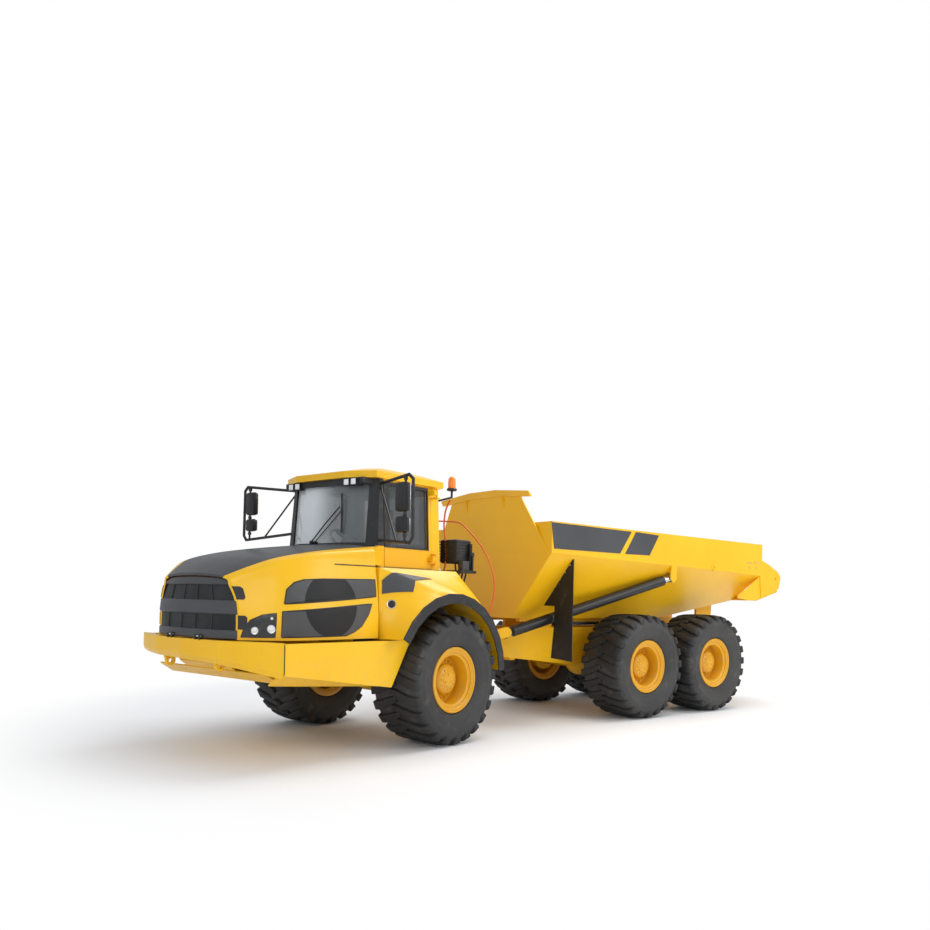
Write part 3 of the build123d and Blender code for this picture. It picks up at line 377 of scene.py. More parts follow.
def lofted(name, rings, smooth=False):
    "Mesh through a row of closed outlines, both ends closed"
    count = len(rings[0])
    faces = []
    for start in range(0, (len(rings) - 1) * count, count):
        for i in range(count):
            j = (i + 1) % count
            faces.append((start + i, start + j, start + count + j, start + count + i))
    faces += [tuple(range(count)), tuple(range((len(rings) - 1) * count, len(rings) * count))]
    return mesh_of(name, [p for ring in rings for p in ring], faces, smooth)


def spun(name, section, steps, closed=True):
    "Mesh turned about the Y axis from (radius, across) points"
    corners, faces = [], []
    for r, w in section:
        corners += [(r * sin(tau * i / steps), w, r * cos(tau * i / steps)) for i in range(steps)]
    rows = len(section)
    for k in range(rows if closed else rows - 1):
        a, b = k * steps, (k + 1) % rows * steps
        faces += [(a + i, a + (i + 1) % steps, b + (i + 1) % steps, b + i) for i in range(steps)]
    mesh = mesh_of(name, corners, faces)
    work = bmesh.new()
    work.from_mesh(mesh)
    bmesh.ops.remove_doubles(work, verts=work.verts, dist=1e-5)
    bmesh.ops.recalc_face_normals(work, faces=work.faces)
    work.to_mesh(mesh)
    work.free()
    mesh.shade_smooth()
    mesh.set_sharp_from_angle(angle=radians(32))
    return mesh


def joined(name, meshes, *materials):
    "One mesh from several; each keeps its own finish if it has one, else takes the first"
    work = bmesh.new()
    result = bpy.data.meshes.new(name)
    for material in materials:
        result.materials.append(material)
    for mesh in meshes:
        start = len(work.faces)
        work.from_mesh(mesh)
        work.faces.ensure_lookup_table()
        for face in work.faces[start:]:
            own = mesh.materials[face.material_index] if mesh.materials else materials[0]
            face.material_index = list(materials).index(own)
    work.to_mesh(result)
    work.free()
    return result


def fitted(name, mesh, body, place=FRONT, replaced=()):
    "A piece drawn in the truck's own measures, set in its place and held by one of its bodies"
    mesh.transform(place)
    if place.determinant() < 0:
        mesh.flip_normals()
    piece = bpy.data.objects.new(name, mesh)
    scene.collection.objects.link(piece)
    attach(piece, body)
    if replaced:
        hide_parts(*replaced)
    return piece


# a ring of copies of one part, at even steps round the wheel's axle
ring_nodes = bpy.data.node_groups.new("ring_round_wheel", "GeometryNodeTree")
for name, kind in (("Part", "Geometry"), ("Count", "Int"), ("Finish", "Material")):
    ring_nodes.interface.new_socket(name, in_out="INPUT", socket_type=f"NodeSocket{kind}")
ring_nodes.interface.new_socket("Ring", in_out="OUTPUT", socket_type="NodeSocketGeometry")
given = add_node(ring_nodes, "NodeGroupInput")
points = add_node(ring_nodes, "GeometryNodePoints", {}, {"Count": given.outputs["Count"]})
number = add_node(ring_nodes, "GeometryNodeInputIndex")
angle = Value(ring_nodes, number.outputs[0]) / Value(ring_nodes, given.outputs["Count"]) * tau
turn = add_node(ring_nodes, "ShaderNodeCombineXYZ", {}, {"Y": angle})
copies = add_node(ring_nodes, "GeometryNodeInstanceOnPoints", {},
                  {"Points": points.outputs[0], "Instance": given.outputs["Part"],
                   "Rotation": turn.outputs[0]})
real = add_node(ring_nodes, "GeometryNodeRealizeInstances", {}, {0: copies.outputs[0]})
finish = add_node(ring_nodes, "GeometryNodeSetMaterial", {},
                  {"Geometry": real.outputs[0], "Material": given.outputs["Finish"]})
add_node(ring_nodes, "NodeGroupOutput", {}, {0: finish.outputs[0]})


def ring_of(mesh, count, material):
    "A ring of copies, made a plain mesh"
    source = bpy.data.objects.new("ring_part", mesh)
    scene.collection.objects.link(source)
    modifier = source.modifiers.new("ring", "NODES")
    modifier.node_group = ring_nodes
    for socket in ring_nodes.interface.items_tree:
        if socket.name in ("Count", "Finish"):
            modifier[socket.identifier] = {"Count": count, "Finish": material}[socket.name]
    bpy.context.view_layer.update()
    made = bpy.data.meshes.new_from_object(source.evaluated_get(bpy.context.evaluated_depsgraph_get()))
    bpy.data.objects.remove(source)
    return made


def rounded(mesh, width, segments=2):
    "The mesh with its edges rounded"
    work = bmesh.new()
    work.from_mesh(mesh)
    edges = [e for e in work.edges if len(e.link_faces) == 2 and e.calc_face_angle(0) > 0.5]
    bmesh.ops.bevel(work, geom=edges, offset=width, segments=segments, affect="EDGES", profile=0.5,
                    clamp_overlap=True)
    work.to_mesh(mesh)
    work.free()
    mesh.shade_smooth()
    mesh.set_sharp_from_angle(angle=radians(40))
    return mesh


# half section of the carcass from the bead to the middle of the tread: radius, across
carcass_half = [
    (0.333, 0.284), (0.398, 0.285), (0.404, 0.300), (0.420, 0.318), (0.446, 0.331), (0.452, 0.330),
    (0.470, 0.340), (0.520, 0.354), (0.575, 0.361), (0.582, 0.365), (0.612, 0.366), (0.620, 0.362),
    (0.660, 0.357), (0.690, 0.346), (0.712, 0.326), (0.727, 0.290), (0.736, 0.220), (0.741, 0.110),
]
carcass = spun("carcass", carcass_half + [(r, -w) for r, w in reversed(carcass_half)], 96)
# a lug's stations from the middle of the tread outwards: place round the tread, half thickness, across and
# radius of its top, across and radius of its foot
TREAD_RADIUS, LUG_COUNT, LUG_DRAFT = 0.776, 24, 0.009
lug_rows = [
    (-0.112, 0.030, -0.050, 0.7755, -0.055, 0.735), (-0.082, 0.042, 0.035, 0.7765, 0.035, 0.735),
    (-0.048, 0.048, 0.120, 0.7765, 0.120, 0.730), (-0.018, 0.052, 0.200, 0.7750, 0.198, 0.725),
    (0.004, 0.055, 0.270, 0.7710, 0.265, 0.715), (0.016, 0.056, 0.325, 0.7620, 0.312, 0.700),
    (0.022, 0.054, 0.356, 0.7450, 0.335, 0.685), (0.024, 0.048, 0.3665, 0.7150, 0.345, 0.670),
    (0.024, 0.034, 0.3660, 0.6750, 0.350, 0.655),
]


def lug_shape(side, lag):
    "One lug on the shoulder of a side, its foot a little thicker than its top"
    rings = []
    for round_at, half, y_top, r_top, y_foot, r_foot in lug_rows:
        ring = []
        for at, y, r in ((round_at - half - LUG_DRAFT, y_foot, r_foot), (round_at - half, y_top, r_top),
                         (round_at + half, y_top, r_top), (round_at + half + LUG_DRAFT, y_foot, r_foot)):
            turned = at / TREAD_RADIUS + lag
            ring.append((r * sin(turned), y * side, r * cos(turned)))
        rings.append(ring)
    return rounded(lofted("lug", rings), 0.007)


lug_pair = joined("lug_pair", [lug_shape(1, 0.0), lug_shape(-1, tau / LUG_COUNT / 2)], shaded_tread_rubber)
lugs = ring_of(lug_pair, LUG_COUNT, shaded_tread_rubber)
carcass.materials.append(rubber)
WHEEL_OUT = 1.108
wheel_places = {}
for axle, x, unit in (("front", 0.0, FRONT), ("mid", -4.175, REAR), ("rear", -5.845, REAR)):
    for side, sign in (("left", 1), ("right", -1)):
        place = unit @ Matrix.Translation((x, sign * WHEEL_OUT, WHEEL_RADIUS))
        if sign < 0:
            place = place @ Matrix.Rotation(pi, 4, "Z")
        wheel_places[f"{axle}_{side}"] = place
        tyre = joined(f"tyre_{axle}_{side}", [carcass, lugs], rubber, shaded_tread_rubber)
        fitted(f"tyre_dressed_{axle}_{side}", tyre, f"wheel_{axle}_{side}", place,
               [f"tyre_{axle}_{side}"])

# Rims: pressed steel in yellow enamel, with a lock ring round the flange, wheel nuts in the dish and a bolted
# cover over the hub's gears. The section runs from the hub out over the dish to the flange and back inside.
rim_section = [
    (0.0801, -0.150), (0.0801, 0.044), (0.0001, 0.044), (0.0001, 0.214), (0.070, 0.214), (0.088, 0.211),
    (0.094, 0.203), (0.144, 0.196), (0.152, 0.190), (0.172, 0.176), (0.179, 0.166), (0.180, 0.104),
    (0.190, 0.095), (0.262, 0.079), (0.276, 0.082), (0.284, 0.094), (0.287, 0.250), (0.294, 0.264),
    (0.316, 0.270), (0.322, 0.276), (0.336, 0.278), (0.342, 0.290), (0.350, 0.298), (0.366, 0.300),
    (0.370, 0.309), (0.386, 0.312), (0.394, 0.304), (0.392, 0.2895), (0.330, 0.2890), (0.330, -0.2890),
    (0.394, -0.2895), (0.394, -0.312), (0.352, -0.312), (0.352, -0.290), (0.300, -0.268), (0.300, 0.020),
    (0.190, 0.030), (0.190, -0.150),
]


def nut(radius, thick, at_r, at_y):
    "Six-sided nut or bolt head with a chamfered top, at a radius and a place along the axle"
    rings = []
    for r, y in ((radius, at_y - 0.01), (radius, at_y + thick * 0.8), (radius * 0.8, at_y + thick)):
        rings.append([(r * cos(tau * i / 6), y, at_r + r * sin(tau * i / 6)) for i in range(6)])
    return lofted("nut", rings)


wheel_nuts = ring_of(nut(0.017, 0.024, 0.236, 0.084), 20, rim_yellow)
hub_bolts = ring_of(nut(0.009, 0.012, 0.122, 0.200), 12, rim_yellow)
drain_plugs = ring_of(nut(0.014, 0.010, 0.062, 0.212), 3, rim_yellow)
rim_mesh = spun("rim", rim_section, 96)
rim_mesh.materials.append(rim_yellow)
for wheel, place in wheel_places.items():
    rim = joined(f"rim_{wheel}", [rim_mesh, wheel_nuts, hub_bolts, drain_plugs], rim_yellow)
    fitted(f"rim_dressed_{wheel}", rim, f"wheel_{wheel}", place, [f"rim_{wheel}"])

# Cab trim: black strips bonded over the front pillars and round the side windows. They follow the walls of
# the cab, which lean in towards the roof.
STRIP = 0.006
WINDSCREEN_HALF = 0.648


def cab_side(z):
    return CAB_HALF - CAB_LEAN * (z - CAB_FLOOR) / CAB_HEIGHT


def pillar_ring(z):
    "Outline of the strip at a height: from the door's edge round the corner to the windscreen"
    t = (z - CAB_FLOOR) / CAB_HEIGHT
    corner = Vector((0.745 - 0.080 * t, cab_side(z), z))
    bow = Vector((0.925 - 0.100 * t, 0.430 - 0.040 * t, z))
    at_glass = corner.lerp(bow, (corner.y - WINDSCREEN_HALF) / (corner.y - bow.y))
    out = Vector((0.908, 0.419, 0)) * STRIP
    rear = Vector((0.614, corner.y, z))
    side_out = Vector((0, STRIP, 0))
    return [rear + side_out, corner + Vector((0.004, STRIP, 0)), at_glass + out,
            at_glass - out, corner - Vector((STRIP, STRIP, 0)), rear - side_out]


for side, place in BOTH_SIDES:
    pillar = lofted("pillar", [pillar_ring(z) for z in (2.352, 2.7, 3.0, 3.143)])
    pillar.materials.append(black_plastic)
    fitted(f"front_pillar_trim_{side}", pillar, "front_frame", place)


def window_frame(outer, inner):
    "Flat frame between two outlines of the side window, bonded to the wall"
    corners, faces = [], []
    for outline in (outer, inner):
        for x, z in outline:
            corners += [(x, cab_side(z) + STRIP, z), (x, cab_side(z) - 2 * STRIP, z)]
    count = len(outer)
    for i in range(count):
        j = (i + 1) % count
        a, b, c, d = 2 * i, 2 * j, 2 * (count + i), 2 * (count + j)
        faces += [(a, b, d, c), (a + 1, c + 1, d + 1, b + 1), (a, a + 1, b + 1, b), (c, d, d + 1, c + 1)]
    mesh = mesh_of("window_frame", corners, faces)
    mesh.materials.append(black_plastic)
    return mesh


frame_outer = [(-0.188, 2.338), (0.602, 2.338), (0.602, 3.120), (-0.188, 3.120)]
frame_inner = [(-0.166, 2.354), (0.520, 2.354), (0.505, 3.080), (-0.166, 3.080)]
for (side, place), body in zip(BOTH_SIDES, ("door_left", "front_frame")):
    fitted(f"window_frame_{side}", window_frame(frame_outer, frame_inner), body, place)


# Wiper: two parallel arms of black steel that turn on pivots at the foot of the windscreen, and a long rubber
# blade across their heads
def tube(name, path, radius, material, smooth_bends=False):
    "Round tube along a path, its ends closed"
    curve = bpy.data.curves.new(name, "CURVE")
    curve.dimensions = "3D"
    curve.bevel_depth = radius
    curve.bevel_resolution = 4
    curve.use_fill_caps = True
    spline = curve.splines.new("NURBS" if smooth_bends else "POLY")
    spline.points.add(len(path) - 1)
    for point, place in zip(spline.points, path):
        point.co = (*place, 1)
    if smooth_bends:
        spline.order_u = 3
        spline.use_endpoint_u = True
        spline.resolution_u = 8
    holder = bpy.data.objects.new(name, curve)
    scene.collection.objects.link(holder)
    bpy.context.view_layer.update()
    mesh = bpy.data.meshes.new_from_object(holder.evaluated_get(bpy.context.evaluated_depsgraph_get()))
    bpy.data.objects.remove(holder)
    mesh.materials.clear()
    mesh.materials.append(material)
    mesh.shade_smooth()
    return mesh


def block(name, low, high, material, round_off=0.004):
    "Block with rounded edges between two opposite corners"
    corners = [(x, y, z) for x in (low[0], high[0]) for y in (low[1], high[1]) for z in (low[2], high[2])]
    faces = [(0, 1, 3, 2), (4, 6, 7, 5), (0, 4, 5, 1), (2, 3, 7, 6), (0, 2, 6, 4), (1, 5, 7, 3)]
    mesh = rounded(mesh_of(name, corners, faces), round_off)
    mesh.materials.append(material)
    return mesh


arm_foot, arm_head = Vector((0.903, -0.165, 2.395)), Vector((0.868, 0.300, 2.815))
arm_bend = arm_foot.lerp(arm_head, 0.5) + Vector((0.012, 0, 0))
second_foot, second_head = arm_foot + Vector((0, 0.07, 0)), arm_head + Vector((0, 0.03, -0.05))
wiper = [tube("arm", [arm_foot, arm_bend, arm_head], 0.008, steel_black),
         tube("arm", [second_foot, second_head], 0.006, steel_black),
         tube("blade", [(0.876, 0.345, 2.50), (0.868, 0.335, 2.75), (0.862, 0.325, 2.97)], 0.011,
              black_plastic),
         tube("pivot", [(0.870, -0.165, 2.392), (0.912, -0.165, 2.398)], 0.022, steel_black),
         tube("pivot", [(0.870, -0.095, 2.392), (0.912, -0.095, 2.398)], 0.016, steel_black)]
fitted("windscreen_wiper", joined("wiper", wiper, steel_black, black_plastic), "front_frame")

# Mirrors: rounded plastic housings clamped to the posts of the tube frames, a large one over a small one,
# with glass on their rear faces. A thin strut stays each frame's lower arm from the roof.
for (side, place), x, low, top, low_arm in zip(BOTH_SIDES, (1.005, 0.825), (2.345, 2.465), (3.090, 3.170),
                                               ((0.879, 1.246, 2.373), (0.771, 1.246, 2.493))):
    middle = (low + top) / 2
    heads = []
    for y, foot, head in ((1.362, middle - 0.028, top - 0.077), (1.372, low + 0.112, middle - 0.077)):
        heads.append(block("housing", (x - 0.043, y, foot), (x + 0.043, 1.538, head), black_plastic, 0.030))
        heads.append(block("glass", (x - 0.0455, y + 0.016, foot + 0.016), (x - 0.040, 1.524, head - 0.016),
                           mirror_glass, 0.002))
    for z in (middle - 0.055, top - 0.04, low + 0.085):
        heads.append(tube("clamp", [(x, 1.49, z - 0.016), (x, 1.49, z + 0.016)], 0.024, steel_black))
    mesh = joined("mirrors", heads, black_plastic, mirror_glass, steel_black)
    fitted(f"mirror_housings_{side}", mesh, "front_frame", place,
           ["mirror_heads"] if side == "left" else ())
    strut = tube("strut", [(0.645, 0.745, 3.072), low_arm], 0.011, steel_black)
    fitted(f"mirror_strut_{side}", strut, "front_frame", place)

# Roof lamps and beacon: square clear lenses stand in the black bar under the roof's front edge. The beacon is
# an amber dome on a black foot, held by a bent post behind the cab.
lenses = [block("lens", (0.899, y - 0.038, 3.060), (0.911, y + 0.038, 3.128), lens_white, 0.006)
          for y in (-0.56, -0.44, 0.44, 0.56)]
fitted("roof_lamp_lenses", joined("lenses", lenses, lens_white), "front_frame")
dome = spun("dome", [(0.0001, 0.180), (0.022, 0.177), (0.037, 0.166), (0.045, 0.147), (0.049, 0.115),
                     (0.050, 0.024), (0.0001, 0.024)], 40, closed=False)
foot = spun("foot", [(0.0001, 0.028), (0.058, 0.028), (0.066, 0.020), (0.066, 0.002), (0.056, -0.004),
                     (0.0001, -0.004)], 40, closed=False)
dome.materials.append(amber)
foot.materials.append(black_plastic)
beacon_foot = Vector((-0.608, 0.800, 3.138))
for part in (dome, foot):
    part.transform(Matrix.Translation(beacon_foot) @ Matrix.Rotation(radians(90), 4, "X"))
post = tube("post", [(-0.600, 0.500, 2.981), (-0.600, 0.500, 3.005), beacon_foot - Vector((0, 0, 0.088)),
                     beacon_foot + Vector((0, 0, 0.005))], 0.016, black_plastic)
fitted("beacon_dressed", joined("beacon", [dome, foot, post], amber, black_plastic),
       "front_frame", replaced=["beacon"])

# Hood: two side shells in yellow and a dark grey top, pressed sheet with smooth shoulders. The rows are its
# sections from front to rear: x, bow of the middle, half widths at the foot and above it, shoulder y and z,
# the top's edge y and z, and the crown's z.
hood_rows = (
    (2.576, 0.085, 0.704, 0.694, 0.604, 1.850, 0.514, 1.935, 1.968),
    (2.375, 0.050, 0.916, 0.896, 0.800, 1.958, 0.660, 2.048, 2.095),
    (2.165, 0.020, 1.058, 1.043, 0.945, 2.030, 0.800, 2.140, 2.180),
    (1.800, 0.000, 1.130, 1.122, 1.035, 2.095, 0.915, 2.220, 2.262),
    (1.400, 0.000, 1.140, 1.132, 1.060, 2.120, 0.945, 2.272, 2.318),
    (1.028, 0.000, 1.140, 1.134, 1.068, 2.130, 0.950, 2.312, 2.358),
)


def through(values, t):
    "Smooth curve through a row of points; t counts along it from 0"
    k = min(max(int(t), 0), len(values) - 2)
    f = t - k
    near = (values[min(max(i, 0), len(values) - 1)] for i in range(k - 1, k + 3))
    return tuple(0.5 * (2 * b + (c - a) * f + (2 * a - 5 * b + 4 * c - d) * f * f
                        + (3 * b - a - 3 * c + d) * f ** 3) for a, b, c, d in zip(*near))


HOOD_FOOT, HOOD_BELT = 1.294, 1.650


def hood_point(u, v):
    "Point of the left half: u from front 0 to rear 5, v from the foot 0 over the top's edge 3 to the crown 4"
    x, bow, y_foot, y_belt, y_sh, z_sh, y_edge, z_edge, z_crown = through(hood_rows, u)
    section = [(y_foot, HOOD_FOOT), (y_belt, HOOD_BELT), (y_sh, z_sh), (y_edge, z_edge), (0.0, z_crown),
               (-y_edge, z_edge)]
    y, z = through(section, v)
    return Vector((x + bow * (1 - (y / y_foot) ** 2), y, z))


def hood_shell(name, v_start, v_end, thickness, material):
    "Part of the left half between two places of its section, with the sheet's thickness"
    rings = []
    for i in range(41):
        outer = [hood_point(i / 8, v_start + (v_end - v_start) * k / 24) for k in range(25)]
        middle = Vector((outer[0].x, 0, 1.5))
        rings.append(outer + [p + (middle - p).normalized() * thickness for p in reversed(outer)])
    mesh = lofted(name, rings, smooth=True)
    mesh.materials.append(material)
    mesh.set_sharp_from_angle(angle=radians(50))
    return mesh


def both_sides(make):
    "What a function draws on the left, and its mirror image on the right"
    left, right = make(), make()
    right.transform(Matrix.Scale(-1, 4, (0, 1, 0)))
    right.flip_normals()
    return [left, right]


sill = [(2.400, 0.800), (2.500, 0.740), (2.545, 0.660), (2.600, 0.450), (2.625, 0.0)]
sill += [(x, -y) for x, y in reversed(sill[:-1])]
front_sill = lofted("sill", [[(x, y, z) for x, y in sill] for z in (1.298, 1.322)])
front_sill.materials.append(yellow)
shells = both_sides(lambda: hood_shell("hood_side", 0.0, 2.995, 0.030, yellow)) + [front_sill]
fitted("hood_sides", joined("hood_sides", shells, yellow), "hood", replaced=["hood"])
tops = both_sides(lambda: hood_shell("hood_top", 3.005, 4.0, 0.028, hood_grey))
fitted("hood_top_dressed", joined("hood_top", tops, hood_grey), "hood",
       replaced=["hood_top"])


def hood_side_at(x, z):
    "Point of the hood's left side given by its x and z"
    low, high = 0.0, 5.0
    for _ in range(24):
        u = (low + high) / 2
        low, high = (u, high) if through(hood_rows, u)[0] > x else (low, u)
    start, end = 0.0, 2.6
    for _ in range(24):
        v = (start + end) / 2
        start, end = (v, end) if hood_point(u, v).z < z else (start, v)
    return hood_point(u, v)


def outward(surface, a, b):
    "The way out of a surface on the left side"
    p = surface(a, b)
    out = (surface(a + 0.004, b) - p).cross(surface(a, b + 0.004) - p).normalized()
    return out if out.y > 0 else -out


def patch(surface, rows, lift, material):
    "Thin plate over a curved surface; rows are lists of places on it, all of one length"
    outer = [surface(*place) + outward(surface, *place) * lift for row in rows for place in row]
    inner = [surface(*place) - outward(surface, *place) * 0.006 for row in rows for place in row]
    wide, high, count = len(rows[0]), len(rows), len(outer)
    faces = []
    for a in (r * wide + c for r in range(high - 1) for c in range(wide - 1)):
        b, c, d = a + 1, a + wide + 1, a + wide
        faces += [(a, b, c, d), (count + a, count + d, count + c, count + b)]
    rim = list(range(wide)) + [r * wide + wide - 1 for r in range(1, high)]
    rim += [(high - 1) * wide + c for c in range(wide - 2, -1, -1)]
    rim += [r * wide for r in range(high - 2, 0, -1)]
    faces += [(a, b, count + b, count + a) for a, b in zip(rim, rim[1:] + rim[:1])]
    mesh = mesh_of("patch", outer + inner, faces, smooth=True)
    mesh.materials.append(material)
    mesh.set_sharp_from_angle(angle=radians(45))
    return mesh


def rows_in(outline, columns=16):
    "Level rows of places inside an outline drawn in x and z"
    heights = sorted({z for _, z in outline})
    levels = sorted(set(heights) | {heights[0] + (heights[-1] - heights[0]) * k / 10 for k in range(11)})
    rows = []
    for z in levels:
        crossing = []
        for (x0, z0), (x1, z1) in zip(outline, outline[1:] + outline[:1]):
            if min(z0, z1) - 1e-9 <= z <= max(z0, z1) + 1e-9:
                crossing += [x0, x1] if abs(z1 - z0) < 1e-9 else [x0 + (x1 - x0) * (z - z0) / (z1 - z0)]
        left, right = max(crossing), min(crossing)
        rows.append([(left + (right - left) * k / (columns - 1), z) for k in range(columns)])
    return rows


def edging(surface, outline, radius, material):
    "Round seal along an outline on a surface"
    path = []
    for (a0, b0), (a1, b1) in zip(outline, outline[1:] + outline[:1]):
        steps = max(2, int(((a1 - a0) ** 2 + (b1 - b0) ** 2) ** 0.5 / 0.06))
        path += [surface(a0 + (a1 - a0) * k / steps, b0 + (b1 - b0) * k / steps) for k in range(steps)]
    return tube("edging", path + path[:1], radius, material)


# Seams: the gap between the hood's shell and its rear upper corner, which runs back under the cab door.
# A dark line on each side, let into the sheet.
for side, place in BOTH_SIDES:
    gap = [hood_side_at(x, 2.092) + Vector((0, 0.001, 0)) for x in (1.62, 1.50, 1.35, 1.20, 1.03)]
    fitted(f"hood_seam_{side}", tube("seam", gap, 0.006, black_plastic), "hood", place)

# Side vents: dark grey perforated inlays in the hood's sides, one over the other, each in a black seal. The
# shroud of the cooling fan shows through both as a darker disc.
upper_vent = [(2.234, 1.666), (2.200, 1.810), (2.120, 1.882), (2.020, 1.912), (1.800, 1.927), (1.062, 1.940),
              (1.062, 1.756), (1.510, 1.718)]
lower_vent = [(2.263, 1.329), (2.254, 1.585), (1.128, 1.672), (1.190, 1.550), (1.290, 1.430), (1.400, 1.370),
              (1.510, 1.335)]
for side, place in BOTH_SIDES:
    vents = []
    for outline in (upper_vent, lower_vent):
        vents += [patch(hood_side_at, rows_in(outline, 40), 0.008, vent_grey),
                  edging(hood_side_at, outline, 0.009, black_plastic)]
    fitted(f"side_vents_{side}", joined("vents", vents, vent_grey, black_plastic), "hood",
           place, ["side_grilles"] if side == "left" else ())


# Headlamps: dark housings let into the hood's front corners, each with two round lamps and a small one above
# them. Each lamp is a bright lens in a turned ring.
def facing(surface, a, b):
    "A place on a surface, its Y axis turned the way out"
    turned = Vector((0, 1, 0)).rotation_difference(outward(surface, a, b)).to_matrix().to_4x4()
    return Matrix.Translation(surface(a, b)) @ turned


headlamp = [(2.552, 1.326), (2.533, 1.415), (2.491, 1.496), (2.408, 1.549), (2.303, 1.569), (2.315, 1.326)]
for side, place in BOTH_SIDES:
    parts = [patch(hood_side_at, rows_in(headlamp, 24), 0.006, lamp_housing),
             edging(hood_side_at, headlamp, 0.006, black_plastic)]
    for x, z, radius in ((2.344, 1.410, 0.036), (2.460, 1.393, 0.032), (2.338, 1.516, 0.013)):
        ring_line = ((1.0, 0.002), (1.18, 0.006), (1.16, 0.012), (0.98, 0.011), (0.92, 0.006))
        lens_line = ((0.0, 0.013), (0.55, 0.012), (0.95, 0.008))
        for name, line, material in (("ring", ring_line, bright_steel), ("lens", lens_line, lens_white)):
            part = spun(name, [(max(radius * r, 0.0001), y) for r, y in line], 32, closed=False)
            part.materials.append(material)
            part.transform(facing(hood_side_at, x, z))
            parts.append(part)
    mesh = joined("headlamp", parts, lamp_housing, black_plastic, bright_steel, lens_white)
    fitted(f"headlamp_{side}", mesh, "hood", place, ["headlamps"] if side == "left" else ())

# Grille: three bowed bars of dark grey moulding that run from one hood side to the other, with black mesh and
# stays set back between them. Short black inlays carry its bands round the hood's front corners, and two
# knuckles at its foot hold the hood's hinge pins.
GRILLE_FOOT, GRILLE_SHOULDER, GRILLE_TOP = 1.299, 1.850, 1.935


def grille_front(y, z):
    "Point of the grille's bowed face; y runs from -1 at the right edge to 1 at the left"
    if z < HOOD_BELT:
        level = (z - GRILLE_FOOT) / (HOOD_BELT - GRILLE_FOOT)
    elif z < GRILLE_SHOULDER:
        level = 1 + (z - HOOD_BELT) / (GRILLE_SHOULDER - HOOD_BELT)
    else:
        level = 2 + (z - GRILLE_SHOULDER) / (GRILLE_TOP - GRILLE_SHOULDER)
    half = through([(0.702,), (0.694,), (0.604,), (0.514,)], level)[0]
    middle = 2.712 - 0.045 * (z - GRILLE_FOOT) / 0.553
    return Vector((middle - (middle - 2.586) * abs(y) ** 3, y * half, z))


def back(distance):
    return Vector((-distance, 0, 0))


up = Vector((0, 0, 0.012))
bars = []
for low, high in ((1.299, 1.390), (1.548, 1.690), (1.848, 1.928)):
    rings = []
    for k in range(33):
        y = -1 + k / 16
        foot, top = grille_front(y, low), grille_front(y, high - 0.02 * y * y if high > 1.85 else high)
        rings.append([foot + back(0.012), foot + up, top - up, top + back(0.012), top + back(0.050),
                      foot + back(0.050)])
    bar = lofted("bar", rings, smooth=True)
    bar.set_sharp_from_angle(angle=radians(30))
    bar.materials.append(hood_grey)
    bars.append(bar)
for low, high in ((1.380, 1.558), (1.680, 1.858)):
    rings = []
    for k in range(33):
        foot, top = grille_front(-1 + k / 16, low), grille_front(-1 + k / 16, high)
        rings.append([foot + back(0.022), top + back(0.022), top + back(0.034), foot + back(0.034)])
    sheet = lofted("mesh", rings)
    sheet.materials.append(wire_mesh)
    bars.append(sheet)
    for y in (-0.55, -0.18, 0.18, 0.55):
        stay = [grille_front(y, low) + back(0.020), grille_front(y, high) + back(0.020)]
        bars.append(tube("stay", stay, 0.008, black_plastic))
HOOD_HINGE_Y = 0.250
for y in (HOOD_HINGE_Y, -HOOD_HINGE_Y):
    bars.append(block("knuckle", (2.670, y - 0.025, 1.306), (2.726, y + 0.025, 1.330), steel_black))
    bars.append(tube("pin", [(2.726, y - 0.055, 1.318), (2.726, y + 0.055, 1.318)], 0.011, bright_steel))
mesh = joined("grille", bars, hood_grey, wire_mesh, black_plastic, steel_black, bright_steel)
fitted("grille_dressed", mesh, "hood", replaced=["grille"])
for side, place in BOTH_SIDES:
    ends = []
    for low, high in ((1.400, 1.540), (1.700, 1.830)):
        corner = [(2.575, low), (2.575, high), (2.525, high), (2.512, high - 0.02), (2.512, low + 0.02),
                  (2.525, low)]
        ends.append(patch(hood_side_at, rows_in(corner, 8), 0.006, black_plastic))
    fitted(f"grille_ends_{side}", joined("ends", ends, black_plastic), "hood", place)

# Fenders: smooth pressed shells in yellow over the front wheels. The deck line gives the inner edge, x and z,
# from the front foot over the deck to the rear foot; the outer edge is the wheel arch.
deck_line = ((0.985, 1.276), (1.000, 1.480), (1.010, 1.700), (1.010, 1.900), (1.010, 2.080), (0.600, 2.080),
             (0.140, 2.080), (-0.330, 2.080), (-0.500, 1.890), (-0.690, 1.632), (-0.860, 1.400),
             (-0.950, 0.850))
FENDER_IN, FENDER_STEP = 0.828, 1.125
arch_mid = Vector((0.060, 1.462, 0.800))


def fender_side(i, s):
    "Point of the left fender's side: i counts along the deck line, s runs from the step 0 to the arch 1"
    first = min(int(i), 10)
    corners = []
    for k in (first, first + 1):
        turned, reach = radians(28.6 + 148.4 * k / 11), 1.032 - 0.052 * k / 11
        x, z = deck_line[k]
        corners.append(Vector((x, FENDER_STEP, z)))
        corners.append(arch_mid + Vector((reach * cos(turned), 0, reach * sin(turned))))
    a, b, c, d = corners
    return a.lerp(b, s).lerp(c.lerp(d, s), i - first)


def fender_shell():
    rings = []
    for k in range(34):
        side_line = [fender_side(k / 3, s / 8) for s in range(9)]
        deck_edge, flare = side_line[0], side_line[-1]
        under = flare - (flare - arch_mid).normalized() * 0.034
        under_step, under_in = (Vector((under.x, y, under.z)) for y in (FENDER_STEP, FENDER_IN))
        rings.append([Vector((deck_edge.x, FENDER_IN, deck_edge.z))] + side_line
                     + [under, under_step, under_in])
    mesh = lofted("fender", rings, smooth=True)
    mesh.set_sharp_from_angle(angle=radians(38))
    mesh.materials.append(yellow)
    return mesh


